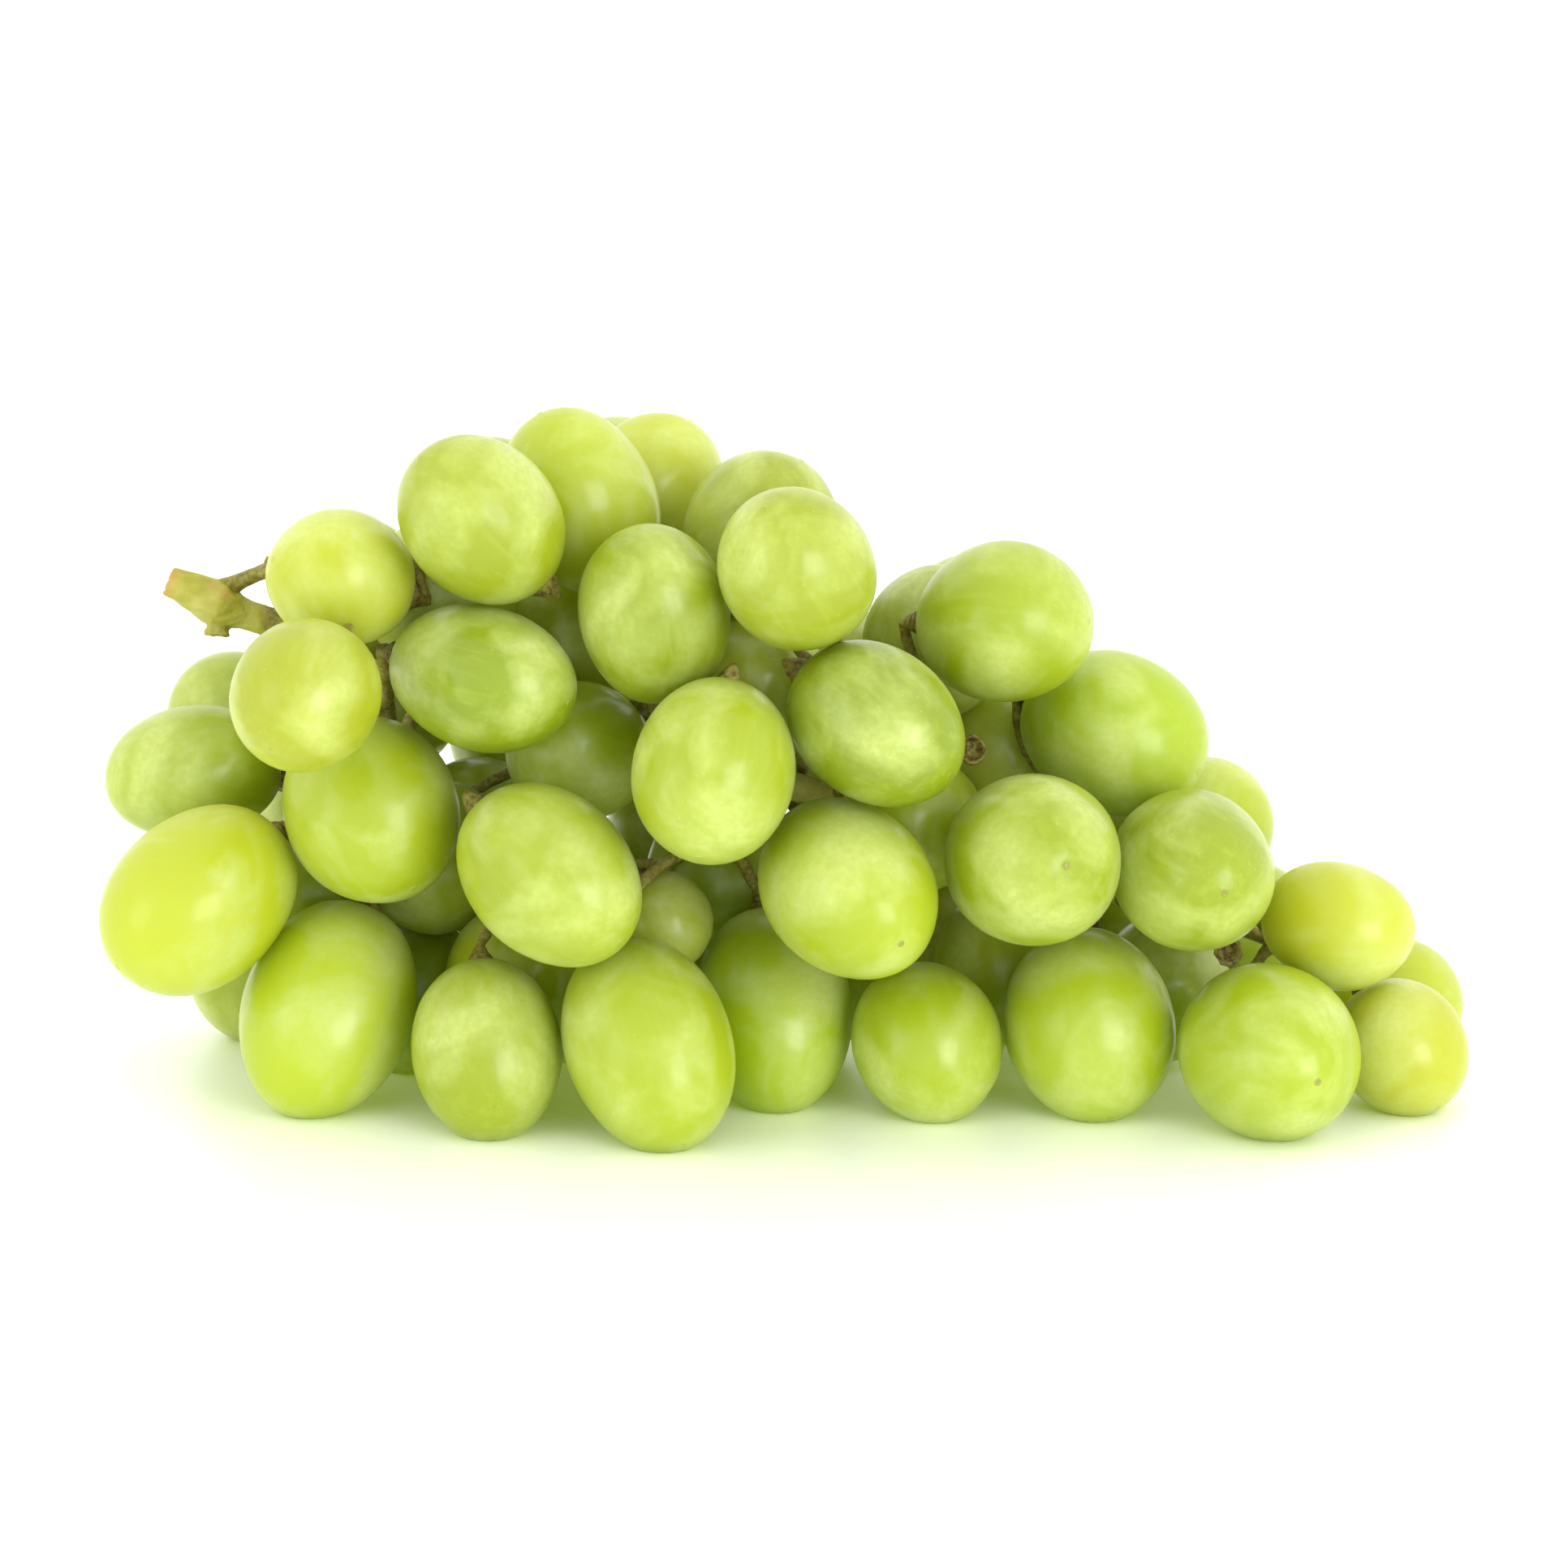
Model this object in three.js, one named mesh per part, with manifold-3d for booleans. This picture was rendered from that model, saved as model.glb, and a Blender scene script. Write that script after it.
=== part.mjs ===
// A bunch of pale green table grapes, as picked, lying on its side.
// Millimetres, +Z up. X runs along the bunch from its cut stalk at the left to its tip at the right. -Y is
// the side that is looked at. The origin is on the table, under the middle of the bunch.
import * as THREE from 'three';
import { mergeVertices } from 'three/addons/utils/BufferGeometryUtils.js';
import Module from 'manifold-3d';

const wasm = await Module();
wasm.setup();

// The eye at the front. Places below are given as it sees them.
const EYE_RISE = THREE.MathUtils.degToRad(12);
const EYE_DISTANCE = 800;
const LOOKED_AT = new THREE.Vector3(0, 0, 35.6);

// Berries
const INNER_WIDE = 17.6; // a berry that is mostly hidden
const BACK_WIDE = 18.8;
const LONG_PER_WIDE = 1.08;
const LONGEST_PER_WIDE = 1.35;
const SIZE_SPREAD = 0.05; // share by which a drawn size differs
const USUAL_TOWARD = 25; // degrees that a front berry's free end turns to the eye
const PRESSED_FLAT = 0.7; // how far a berry that lies on the table is flattened
const CLEARANCE = 0.3; // air between berries, and between one spray and the next
const BERRY_SIDES = 9;
const BERRY_RINGS = 5;

// Stalks, by radius
const CUT_RADIUS = 1.7;
const NECK_RADIUS = 2.2;
const JOINT_RADIUS = 3.0; // the swollen joint at the first branch
const AXIS_RADIUS = 1.8;
const AXIS_END_RADIUS = 1.1;
const BRANCH_RADIUS = 1.0;
const PEDICEL_RADIUS = 0.65;
const CUSHION_RADIUS = 1.5; // the warty swelling that carries a berry
const CUSHION_LENGTH = 1.6;
const ROOT_DEPTH = 1.2; // how far a stalk is sunk into its berry
const MAIN_SIDES = 8;
const STEPS_PER_SPAN = 3;
const BRANCH_SIDES = 5;
const PEDICEL_SIDES = 4;

// The main stalk from the cut to the last branch: [across, up, deep, radius]
const MAIN_STALK = [
  [-75.9, 25.1, -3, CUT_RADIUS], [-73.2, 23.9, -3, NECK_RADIUS], [-69.8, 22.3, -2.8, JOINT_RADIUS],
  [-66.4, 20.9, -2.1, AXIS_RADIUS], [-62.5, 19.4, -1.2, AXIS_RADIUS], [-55, 15.5, 1, AXIS_RADIUS],
  [-42, 10, 3, AXIS_RADIUS], [-22, 5, 3, AXIS_RADIUS], [0, 0, 2, AXIS_RADIUS], [20, -6, 0, AXIS_RADIUS],
  [38, -12.5, -2, AXIS_END_RADIUS], [50, -18.5, -5, AXIS_END_RADIUS],
];
// A short torn-off branch that hangs from the neck, from its root to its flared end.
const TORN_STUB = [[-69.8, 21.6, -3, 1.2], [-69.8, 19.7, -3.2, 1.2], [-69.9, 18.3, -3.4, 1.6]];

// The sprays of the front, from the stalk to the tip. leaves: the X at which the branch leaves the main
// stalk. by: what the branch passes on its way. bare: the cushion of a berry that is gone.
// A berry is { at: [across, up, deep], size: [wide, long], free, toward }:
// across and up are where its middle is seen, from the middle of the view. deep is its place from front (-)
// to back (+), and a berry without it lies on the table. size is as seen, and a berry without it is an inner
// one, which shows no end. free is where its free end points in the view, in degrees from the right upwards,
// and toward is how far that end turns to the eye.
const FRONT_SPRAYS = [
  { name: 'left_shoulder', leaves: -61, berries: [
    { at: [-58.5, 11.0, -33], size: [18.1, 19.0], free: 240, toward: 40 },
    { at: [-71.2, -14.5, -17], size: [20.6, 25.8], free: 221 },
    { at: [-72.6, 1.6, -4], size: [16.4, 22.0], free: 190, toward: 0 },
    { at: [-67.2, 7.4, 11], size: [17.2, 18.4], free: 130, toward: -20 },
  ] },
  { name: 'upper_left', leaves: -68.8, by: [[-66.0, 26.0, -2.9], [-64.0, 26.2, -3]], berries: [
    { at: [-54.4, 25.2, -22], size: [16.8, 18.0], free: 165 },
    { at: [-36.9, 32.4, -22], size: [18.8, 22.0], free: 135 },
    { at: [-42.1, 23.1, -6] },
  ] },
  { name: 'front_left', leaves: -45, berries: [
    { at: [-50.9, -3.2, -19], size: [21.8, 23.6], free: 300 },
    { at: [-37.0, 13.0, -26], size: [18.0, 24.0], free: 344 },
    { at: [-44.6, -12.4, -3] },
    { at: [-55.8, -27.7], size: [20.8, 27.4], free: 250 },
  ] },
  { name: 'low_far_left', leaves: -50, berries: [
    { at: [-64.1, -22.7] },
    { at: [-53.6, -15.9, 10] },
  ] },
  { name: 'top_left', leaves: -29, berries: [
    { at: [-24.9, 34.7, -6], size: [18.4, 23.4], free: 115, toward: 10 },
    { at: [-16.0, 21.0, -28], size: [18.8, 22.0], free: 100 },
    { at: [-27.6, 18.1, 3] },
    { at: [-16.5, 36.0, 9], size: [17.2, 18.6], free: 60, toward: 0 },
  ] },
  { name: 'low_left', leaves: -24, berries: [
    { at: [-28.6, -11.4, -33], size: [20.0, 25.0], free: 317 },
    { at: [-36.2, -32.2], size: [18.6, 22.2], free: 275 },
    { at: [-36.6, -23.6, -12] },
    { at: [-46.1, -26.6] },
  ] },
  { name: 'middle', leaves: -8, berries: [
    { at: [-8.6, 1.6, -38], size: [20.0, 23.0], free: 260 },
    { at: [-25.1, 4.1, -10] },
    { at: [-3.6, 11.6, -16] },
  ] },
  { name: 'low_middle', leaves: 0, berries: [
    { at: [-16.8, -32.2], size: [20.5, 26.5], free: 290 },
    { at: [-1.1, -27.8], size: [19.4, 26.0], free: 277 },
    { at: [-26.4, -25.2] },
    { at: [-14.4, -16.9, -16], size: [11.6, 12.4], free: 300 },
    { at: [-7.6, -9.4, -8] },
  ] },
  { name: 'top_middle', leaves: 7, berries: [
    { at: [-2.8, 31.0, -12], size: [19.0, 20.0], free: 60, toward: 10 },
    { at: [2.0, 25.5, -33], size: [19.4, 20.4], free: 120, toward: 40 },
    { at: [10.7, 8.0, -33], size: [19.2, 23.2], free: 325 },
  ] },
  { name: 'low_right_middle', leaves: 15, berries: [
    { at: [8.0, -12.7, -37], size: [20.6, 23.8], free: 314, toward: 50 },
    { at: [17.5, -31.8], size: [18.4, 20.2], free: 290 },
    { at: [18.0, -21.4, 4] },
  ] },
  { name: 'top_right', leaves: 23, bare: { at: [23.3, 4.2, -14], free: 0, toward: 80 }, berries: [
    { at: [27.2, 19.9, -20], size: [20.0, 21.8], free: 0 },
    { at: [18.4, 17.2, 0] },
    { at: [25.9, 0.6, 5] },
  ] },
  { name: 'front_right', leaves: 32, berries: [
    { at: [30.4, -9.3, -30], size: [21.0, 21.6], free: 352, toward: 75 },
    { at: [15.9, -4.9, -18] },
    { at: [37.6, -29.5], size: [21.0, 24.0], free: 282 },
    { at: [27.4, -22.4, -7] },
  ] },
  { name: 'right', leaves: 42, berries: [
    { at: [40.5, 6.1, -7], size: [19.8, 23.2], free: 335 },
    { at: [50.6, -6.4, 2] },
    { at: [49.9, -10.4, -24], size: [19.4, 20.2], free: 320, toward: 72 },
  ] },
  { name: 'tip', leaves: 49, bare: { at: [54.8, -20.6, -18], free: 0, toward: 80 }, berries: [
    { at: [59.4, -32.9], size: [21.4, 22.6], free: 327, toward: 66 },
    { at: [68.5, -17.8, -26], size: [15.8, 19.0], free: 345 },
    { at: [75.3, -27.0, -3], size: [16.0, 16.6], free: 0, toward: 0 },
    { at: [76.1, -32.5], size: [16.2, 17.6], free: 300 },
    { at: [48.4, -22.4, -7] },
    { at: [57.9, -18.4, 5] },
  ] },
];

// The back, which the eye doesn't see: each spray is an arc of berries behind the main stalk at x, as tall as
// the bunch is there.
const BACK_SPRAYS = [
  { name: 'back_left_end', leaves: -48, x: -53, height: 66, count: 4 },
  { name: 'back_left', leaves: -33, x: -34, height: 76, count: 5 },
  { name: 'back_left_middle', leaves: -14, x: -15, height: 80, count: 5 },
  { name: 'back_right_middle', leaves: 11, x: 4, height: 58, count: 4 },
  { name: 'back_right', leaves: 27, x: 23, height: 62, count: 3 },
  { name: 'back_right_end', leaves: 38, x: 42, height: 46, count: 2 },
];
const BACK_DEPTH_PER_HEIGHT = 0.34;
const BACK_ARC = THREE.MathUtils.degToRad(75); // half the arc
const BACK_STRAY = 3; // how far a back berry may stand from its spray's plane
const BACK_LEAN = 0.3; // how far its free end may point out of that plane

// Settling
const ROUNDS = 220;
const HOLD_IN_VIEW = 0.12; // how firmly a seen berry keeps its place in the view, each round
const HOLD_IN_DEPTH = 0.01;
const HOLD_AT_BACK = 0.02;
const GIVE_IN_VIEW = 0.25; // how readily a seen berry gives way across the view, against 1 in depth
const GIVE_ON_TABLE = 0.2;
const STALK_ROOM = 2.8; // kept free round the main stalk's middle line
const CUSHION_ROOM = 1.2; // radius kept free where a pedicel reaches its berry

// Turning of the berries whose own way of lying doesn't show
const WANTED_AIR = 1.6; // round the place where the pedicel reaches the berry
const AIR_GAPS = [2, 4.5]; // how far past the stalk end the air is felt
const TILTS = [0, 25, 50, 75].map(THREE.MathUtils.degToRad);
const TURNS_TRIED = 8;

// Ways of the stalks
const WAY_POINTS = 9;
const WAY_ROUNDS = 80;
const SMOOTHING = 0.3;
const STALK_GAP = 0.8;
const STEP_ALONG_STALK = 6;
const HUB_SHARE = 0.6; // how far a branch heads for the middle of its berries before it turns to the furthest
const STEEP = 0.8; // a stalk whose direction's Z is more than this has its sides laid out from X
const TINY = 1e-6;

const GRAPE_SKIN = new THREE.MeshStandardMaterial({ color: 0xb2cb3a, roughness: 0.45, metalness: 0 });
const STALK_GREEN = new THREE.MeshStandardMaterial({ color: 0xbeb43c, roughness: 0.7, metalness: 0 });

const SIGHT = new THREE.Vector3(0, Math.cos(EYE_RISE), -Math.sin(EYE_RISE));
const RIGHT = new THREE.Vector3(1, 0, 0);
const RISE = new THREE.Vector3(0, Math.sin(EYE_RISE), Math.cos(EYE_RISE));
const UP = new THREE.Vector3(0, 0, 1);

// The same small random numbers on every run.
function seeded(seed) {
  let state = seed;
  return () => {
    state = (state * 16807) % 2147483647;
    return state / 2147483647;
  };
}
const draw = seeded(20417);
const spread = (amount) => amount * (2 * draw() - 1);

// The point seen across and up from the middle of the view, beyond the plane there by so much.
function pointBeyond(across, up, beyond) {
  const scale = (EYE_DISTANCE + beyond) / EYE_DISTANCE;
  return LOOKED_AT.clone()
    .addScaledVector(RIGHT, across * scale)
    .addScaledVector(RISE, up * scale)
    .addScaledVector(SIGHT, beyond);
}

// The point seen across and up whose Y is deep, and the one whose Z is height.
const seenPoint = ([across, up, deep]) => pointBeyond(across, up, (deep - RISE.y * up) / SIGHT.y);
function seenAtHeight([across, up], height) {
  const climb = height - LOOKED_AT.z - RISE.z * up;
  return pointBeyond(across, up, climb / (SIGHT.z + RISE.z * up / EYE_DISTANCE));
}

const farness = (point) => 1 + point.clone().sub(LOOKED_AT).dot(SIGHT) / EYE_DISTANCE;

// The direction of a free end that is seen to point to free, and is turned to the eye by toward.
function freeEnd({ free, toward = USUAL_TOWARD }) {
  const turn = THREE.MathUtils.degToRad(free);
  const tilt = THREE.MathUtils.degToRad(toward);
  const inView = RIGHT.clone().multiplyScalar(Math.cos(turn)).addScaledVector(RISE, Math.sin(turn));
  return inView.multiplyScalar(Math.cos(tilt)).addScaledVector(SIGHT, -Math.sin(tilt));
}

// The true length of a berry that looks shorter because it is turned to the eye.
function trueLength([wide, long], toward = USUAL_TOWARD) {
  const tilt = THREE.MathUtils.degToRad(toward);
  const squared = (long ** 2 - (wide * Math.sin(tilt)) ** 2) / Math.cos(tilt) ** 2;
  return Math.min(Math.sqrt(squared), wide * LONGEST_PER_WIDE);
}

// A berry: its middle, the direction of its free end, and its half width and half length. Its stalk end may
// still turn where turns is true.
function frontBerry(spec, root) {
  const lies = spec.at.length === 2;
  const guess = lies ? seenAtHeight(spec.at, INNER_WIDE / 2) : seenPoint(spec.at);
  const drawn = INNER_WIDE * (1 + spread(SIZE_SPREAD));
  const scale = spec.size ? farness(guess) : 1;
  const wide = spec.size ? spec.size[0] * scale : drawn;
  const long = spec.size ? trueLength(spec.size, spec.toward) * scale : drawn * LONG_PER_WIDE;
  const turns = spec.free === undefined;
  const axis = turns ? guess.clone().sub(root).normalize() : freeEnd(spec);
  const berry = { axis, halfWide: wide / 2, halfLong: long / 2, seen: true, lies, turns };
  const home = lies ? seenAtHeight(spec.at, reach(berry, UP) - PRESSED_FLAT) : guess;
  return { ...berry, home, middle: home.clone() };
}

function backBerries({ x, height, count }) {
  return [...Array(count).keys()].map((i) => {
    const turn = BACK_ARC * (1 - 2 * (i + 0.5) / count);
    const halfWide = BACK_WIDE * (1 + spread(SIZE_SPREAD)) / 2;
    const half = height / 2;
    const home = new THREE.Vector3(
      x + spread(BACK_STRAY),
      height * BACK_DEPTH_PER_HEIGHT * Math.cos(turn),
      half + (half - halfWide) * Math.sin(turn),
    );
    const axis = new THREE.Vector3(spread(BACK_LEAN), Math.cos(turn), Math.sin(turn)).normalize();
    const halfLong = halfWide * LONG_PER_WIDE;
    const lies = i === count - 1;
    return { axis, halfWide, halfLong, seen: false, lies, turns: true, home, middle: home.clone() };
  });
}

// How far a berry's bulk reaches along a direction, and how far its skin is from its middle there.
function reach(berry, direction) {
  const c = direction.dot(berry.axis);
  return Math.sqrt(berry.halfWide ** 2 * (1 - c * c) + berry.halfLong ** 2 * c * c);
}
function skinDistance(berry, direction) {
  const c = direction.dot(berry.axis);
  return 1 / Math.sqrt((1 - c * c) / berry.halfWide ** 2 + c * c / berry.halfLong ** 2);
}

// The point on a berry's axis that is past its stalk end by gap.
function beforeStalkEnd(berry, gap) {
  return berry.middle.clone().addScaledVector(berry.axis, -berry.halfLong - gap);
}

// How a berry gives way to a push: one that lies moves along the table, and a seen one moves in depth before
// it moves across the view.
function giving(berry, push) {
  if (berry.lies) return new THREE.Vector3(push.x, push.y, 0).multiplyScalar(berry.seen ? GIVE_ON_TABLE : 1);
  if (!berry.seen) return push.clone();
  const inDepth = push.dot(SIGHT) * (1 - GIVE_IN_VIEW);
  return push.clone().multiplyScalar(GIVE_IN_VIEW).addScaledVector(SIGHT, inDepth);
}

// Pushes a and b apart by lack along between, each as readily as it gives.
function part(a, b, between, lack) {
  const [giveA, giveB] = [giving(a, between), giving(b, between)];
  const share = lack / (giveA.dot(between) + giveB.dot(between));
  a.middle.addScaledVector(giveA, -share);
  b.middle.addScaledVector(giveB, share);
}

function nearestOn(points, place) {
  let best = points[0];
  for (let i = 0; i + 1 < points.length; i++) {
    const span = new THREE.Line3(points[i], points[i + 1]);
    const near = span.closestPointToPoint(place, true, new THREE.Vector3());
    if (near.distanceToSquared(place) < best.distanceToSquared(place)) best = near;
  }
  return best;
}

function keepApart(a, b) {
  const between = b.middle.clone().sub(a.middle);
  const apart = between.length();
  if (apart > a.halfLong + b.halfLong + CLEARANCE + 2 * CUSHION_LENGTH) return;
  between.divideScalar(apart);
  const lack = reach(a, between) + reach(b, between) + CLEARANCE - apart;
  if (lack > 0) part(a, b, between, lack);
}

function keepOffCushion(a, b) {
  const cushion = beforeStalkEnd(a, CUSHION_LENGTH);
  const between = b.middle.clone().sub(cushion);
  const apart = between.length();
  if (apart > b.halfLong + CUSHION_ROOM) return;
  between.divideScalar(apart);
  const lack = skinDistance(b, between) + CUSHION_ROOM - apart;
  if (lack > 0) part(a, b, between, lack);
}

// Moves a berry along away until away is as long as wanted.
function moveOff(berry, away, wanted) {
  const apart = away.length();
  away.divideScalar(apart);
  berry.middle.addScaledVector(away, Math.max(0, wanted(away) - apart));
}

// Moves the berries until none overlaps another, the main stalk or the table.
function settle(berries, mainStalk) {
  for (let round = 0; round < ROUNDS; round++) {
    for (const b of berries) {
      const back = b.home.clone().sub(b.middle);
      b.middle.addScaledVector(back, b.seen ? HOLD_IN_VIEW : HOLD_AT_BACK);
      const loosened = back.dot(SIGHT) * (HOLD_IN_DEPTH - HOLD_IN_VIEW);
      if (b.seen && !b.lies) b.middle.addScaledVector(SIGHT, loosened);
    }
    berries.forEach((a, i) => berries.slice(i + 1).forEach((b) => {
      keepApart(a, b);
      keepOffCushion(a, b);
      keepOffCushion(b, a);
    }));
    for (const b of berries) {
      moveOff(b, b.middle.clone().sub(nearestOn(mainStalk, b.middle)), (away) => reach(b, away) + STALK_ROOM);
      const cushion = beforeStalkEnd(b, CUSHION_LENGTH);
      moveOff(b, cushion.clone().sub(nearestOn(mainStalk, cushion)), () => CUSHION_ROOM + STALK_ROOM);
      const lowest = reach(b, UP) - PRESSED_FLAT;
      b.middle.z = b.lies ? lowest : Math.max(b.middle.z, lowest);
    }
  }
}

// How much air there is round a point: to the nearest other berry, the main stalk and the table.
function airAt(point, self, berries, mainStalk) {
  let air = Math.min(point.z, point.distanceTo(nearestOn(mainStalk, point)) - AXIS_RADIUS);
  for (const b of berries) {
    if (b === self) continue;
    const away = point.clone().sub(b.middle);
    const apart = away.length();
    if (apart > b.halfLong + WANTED_AIR) continue;
    air = Math.min(air, apart - skinDistance(b, away.divideScalar(apart)));
  }
  return air;
}

// Turns a berry that shows no end of its own, so that its stalk end looks into a gap.
function turnStalkEnd(berry, berries, mainStalk) {
  const side = berry.axis.clone().cross(RIGHT).normalize();
  const outward = berry.axis.clone();
  let best = -Infinity;
  for (const tilt of TILTS) {
    for (let k = 0; k < TURNS_TRIED; k++) {
      const turn = 2 * Math.PI * k / TURNS_TRIED;
      const axis = outward.clone().applyAxisAngle(side, tilt).applyAxisAngle(outward, turn);
      const worth = AIR_GAPS.reduce((sum, gap) => {
        const place = berry.middle.clone().addScaledVector(axis, -berry.halfLong - gap);
        return sum + Math.min(airAt(place, berry, berries, mainStalk), WANTED_AIR);
      }, Math.cos(tilt));
      if (worth > best + TINY) {
        best = worth;
        berry.axis = axis;
      }
    }
  }
}

// A way for a stalk, bent towards via, pushed clear of the berries and of the stalks that are already laid.
function findWay(start, via, end, radius, berries, laid) {
  const way = new THREE.QuadraticBezierCurve3(start, via, end).getPoints(WAY_POINTS - 1);
  for (let round = 0; round < WAY_ROUNDS; round++) {
    for (let i = 1; i < WAY_POINTS - 1; i++) {
      const p = way[i];
      p.lerp(way[i - 1].clone().add(way[i + 1]).multiplyScalar(0.5), SMOOTHING);
      for (const b of berries) {
        const away = p.clone().sub(b.middle);
        const apart = away.length();
        if (apart > b.halfLong + radius + CLEARANCE) continue;
        away.divideScalar(apart);
        p.addScaledVector(away, Math.max(0, skinDistance(b, away) + radius + CLEARANCE - apart));
      }
      for (const stalk of laid) {
        const away = p.clone().sub(nearestOn(stalk.points, p));
        const apart = away.length();
        away.divideScalar(apart);
        p.addScaledVector(away, Math.max(0, stalk.radius + radius + STALK_GAP - apart));
      }
      p.z = Math.max(p.z, radius + CLEARANCE);
    }
  }
  return way;
}

// Points at equal steps of a few millimetres along a line.
function evenly(line) {
  const gone = [0];
  for (let i = 1; i < line.length; i++) gone.push(gone[i - 1] + line[i].distanceTo(line[i - 1]));
  const steps = Math.max(2, Math.round(gone.at(-1) / STEP_ALONG_STALK));
  return [...Array(steps + 1).keys()].map((k) => {
    const wanted = gone.at(-1) * k / steps;
    const i = Math.max(1, gone.findIndex((length) => length >= wanted - TINY));
    return line[i - 1].clone().lerp(line[i], (wanted - gone[i - 1]) / (gone[i] - gone[i - 1]));
  });
}

// Lays a spray's stalks: the branch to its furthest berry, and then each other pedicel from the nearest
// stalk.
function laySpray(spray, berries, mainStalk, laid) {
  const others = [...laid, { points: mainStalk, radius: AXIS_RADIUS }];
  const goals = spray.berries.map((b) => ({
    last: beforeStalkEnd(b, CUSHION_LENGTH + PEDICEL_RADIUS + CLEARANCE),
    cushion: [CUSHION_LENGTH, -ROOT_DEPTH / 2, -ROOT_DEPTH].map((gap) => beforeStalkEnd(b, gap)),
  }));
  if (spray.bare) {
    const tip = seenPoint(spray.bare.at);
    const face = freeEnd(spray.bare);
    const behind = (gap) => tip.clone().addScaledVector(face, -gap);
    goals.push({ last: behind(2 * CUSHION_LENGTH), cushion: [behind(CUSHION_LENGTH), tip] });
  }
  goals.sort((p, q) => q.last.distanceTo(spray.root) - p.last.distanceTo(spray.root));
  const by = (spray.by ?? []).map(seenPoint);
  const sum = goals.reduce((total, goal) => total.add(goal.last), new THREE.Vector3());
  const middle = sum.divideScalar(goals.length);
  const hub = spray.root.clone().lerp(middle, HUB_SHARE);
  const out = (by[0] ?? middle).clone().sub(spray.root).projectOnPlane(spray.onward).normalize();
  const leave = spray.root.clone().addScaledVector(out, spray.rootRadius + CLEARANCE);
  const clear = leave.clone().addScaledVector(out, BRANCH_RADIUS);
  spray.stalks = [];
  goals.forEach((goal, i) => {
    const first = i === 0;
    const radius = first ? BRANCH_RADIUS : PEDICEL_RADIUS;
    const taken = spray.stalks.flatMap((s) => s.free);
    const start = first ? by.at(-1) ?? clear : nearestPoint(taken, goal.last);
    const via = first && !by.length ? hub : start.clone().lerp(goal.last, 0.5);
    const way = evenly(findWay(start, via, goal.last, radius, berries, others));
    const lead = first ? [leave, ...(by.length ? [clear, ...by.slice(0, -1)] : [])] : [];
    const points = [...lead, ...way, ...goal.cushion];
    spray.stalks.push({
      points,
      radius,
      ends: goal.cushion.length,
      free: points.slice(first ? lead.length + 1 : 1, -goal.cushion.length - 1),
    });
  });
}

function nearestPoint(points, place) {
  return points.reduce((best, p) => (p.distanceTo(place) < best.distanceTo(place) ? p : best));
}

function solidOf(geometry) {
  geometry.deleteAttribute('normal');
  geometry.deleteAttribute('uv');
  const merged = mergeVertices(geometry, 1e-5);
  return new wasm.Manifold(new wasm.Mesh({
    numProp: 3,
    vertProperties: new Float32Array(merged.attributes.position.array),
    triVerts: new Uint32Array(merged.index.array),
  }));
}

function berrySolid(berry) {
  const outline = [...Array(BERRY_RINGS + 2).keys()].map((i) => {
    const turn = Math.PI * i / (BERRY_RINGS + 1);
    return new THREE.Vector2(berry.halfWide * Math.sin(turn), -berry.halfLong * Math.cos(turn));
  });
  outline[0].x = 0;
  outline.at(-1).x = 0;
  const geometry = new THREE.LatheGeometry(outline, BERRY_SIDES);
  geometry.applyQuaternion(new THREE.Quaternion().setFromUnitVectors(new THREE.Vector3(0, 1, 0), berry.axis));
  geometry.translate(...berry.middle.toArray());
  return solidOf(geometry);
}

// A closed round bar along points, with a radius at each of them.
function barSolid(points, radii, sides) {
  const corners = [];
  const faces = [];
  let side = null;
  points.forEach((p, i) => {
    const before = points[Math.max(i - 1, 0)];
    const after = points[Math.min(i + 1, points.length - 1)];
    const ahead = after.clone().sub(before).normalize();
    side ??= Math.abs(ahead.z) < STEEP ? UP.clone() : RIGHT.clone();
    side.addScaledVector(ahead, -side.dot(ahead)).normalize();
    const across = ahead.clone().cross(side);
    for (let k = 0; k < sides; k++) {
      const turn = 2 * Math.PI * k / sides;
      const corner = p.clone()
        .addScaledVector(side, radii[i] * Math.cos(turn))
        .addScaledVector(across, radii[i] * Math.sin(turn));
      corners.push(...corner.toArray());
      if (i === 0) continue;
      const next = (k + 1) % sides;
      const ring = i * sides;
      const last = ring - sides;
      faces.push(last + k, last + next, ring + next, last + k, ring + next, ring + k);
    }
  });
  const end = (points.length - 1) * sides;
  for (let k = 1; k + 1 < sides; k++) {
    faces.push(0, k + 1, k, end, end + k, end + k + 1);
  }
  return new wasm.Manifold(new wasm.Mesh({
    numProp: 3,
    vertProperties: new Float32Array(corners),
    triVerts: new Uint32Array(faces),
  }));
}

// A stalk's bar, fatter by extra. It swells to the cushion where it meets its berry.
function stalkSolid(stalk, extra = 0) {
  const plain = stalk.points.length - stalk.ends;
  const radii = stalk.points.map((_, i) => {
    if (i > plain) return CUSHION_RADIUS + extra;
    const taper = stalk.radius > PEDICEL_RADIUS ? i / plain : 0;
    return THREE.MathUtils.lerp(stalk.radius, PEDICEL_RADIUS, taper) + extra;
  });
  return barSolid(stalk.points, radii, stalk.radius > PEDICEL_RADIUS ? BRANCH_SIDES : PEDICEL_SIDES);
}

const union = (solids) => wasm.Manifold.union(solids);

// What holds together, without loose scraps.
function largest(solid) {
  const pieces = solid.decompose();
  return pieces.reduce((best, piece) => (piece.volume() > best.volume() ? piece : best));
}

function sprayBody(spray, otherStalks) {
  const berries = union(spray.berries.map(berrySolid)).trimByPlane([0, 0, 1], 0);
  const cut = otherStalks.reduce((left, room) => left.subtract(room), berries);
  return largest(union([cut, ...spray.stalks.map((s) => stalkSolid(s))]));
}

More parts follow.
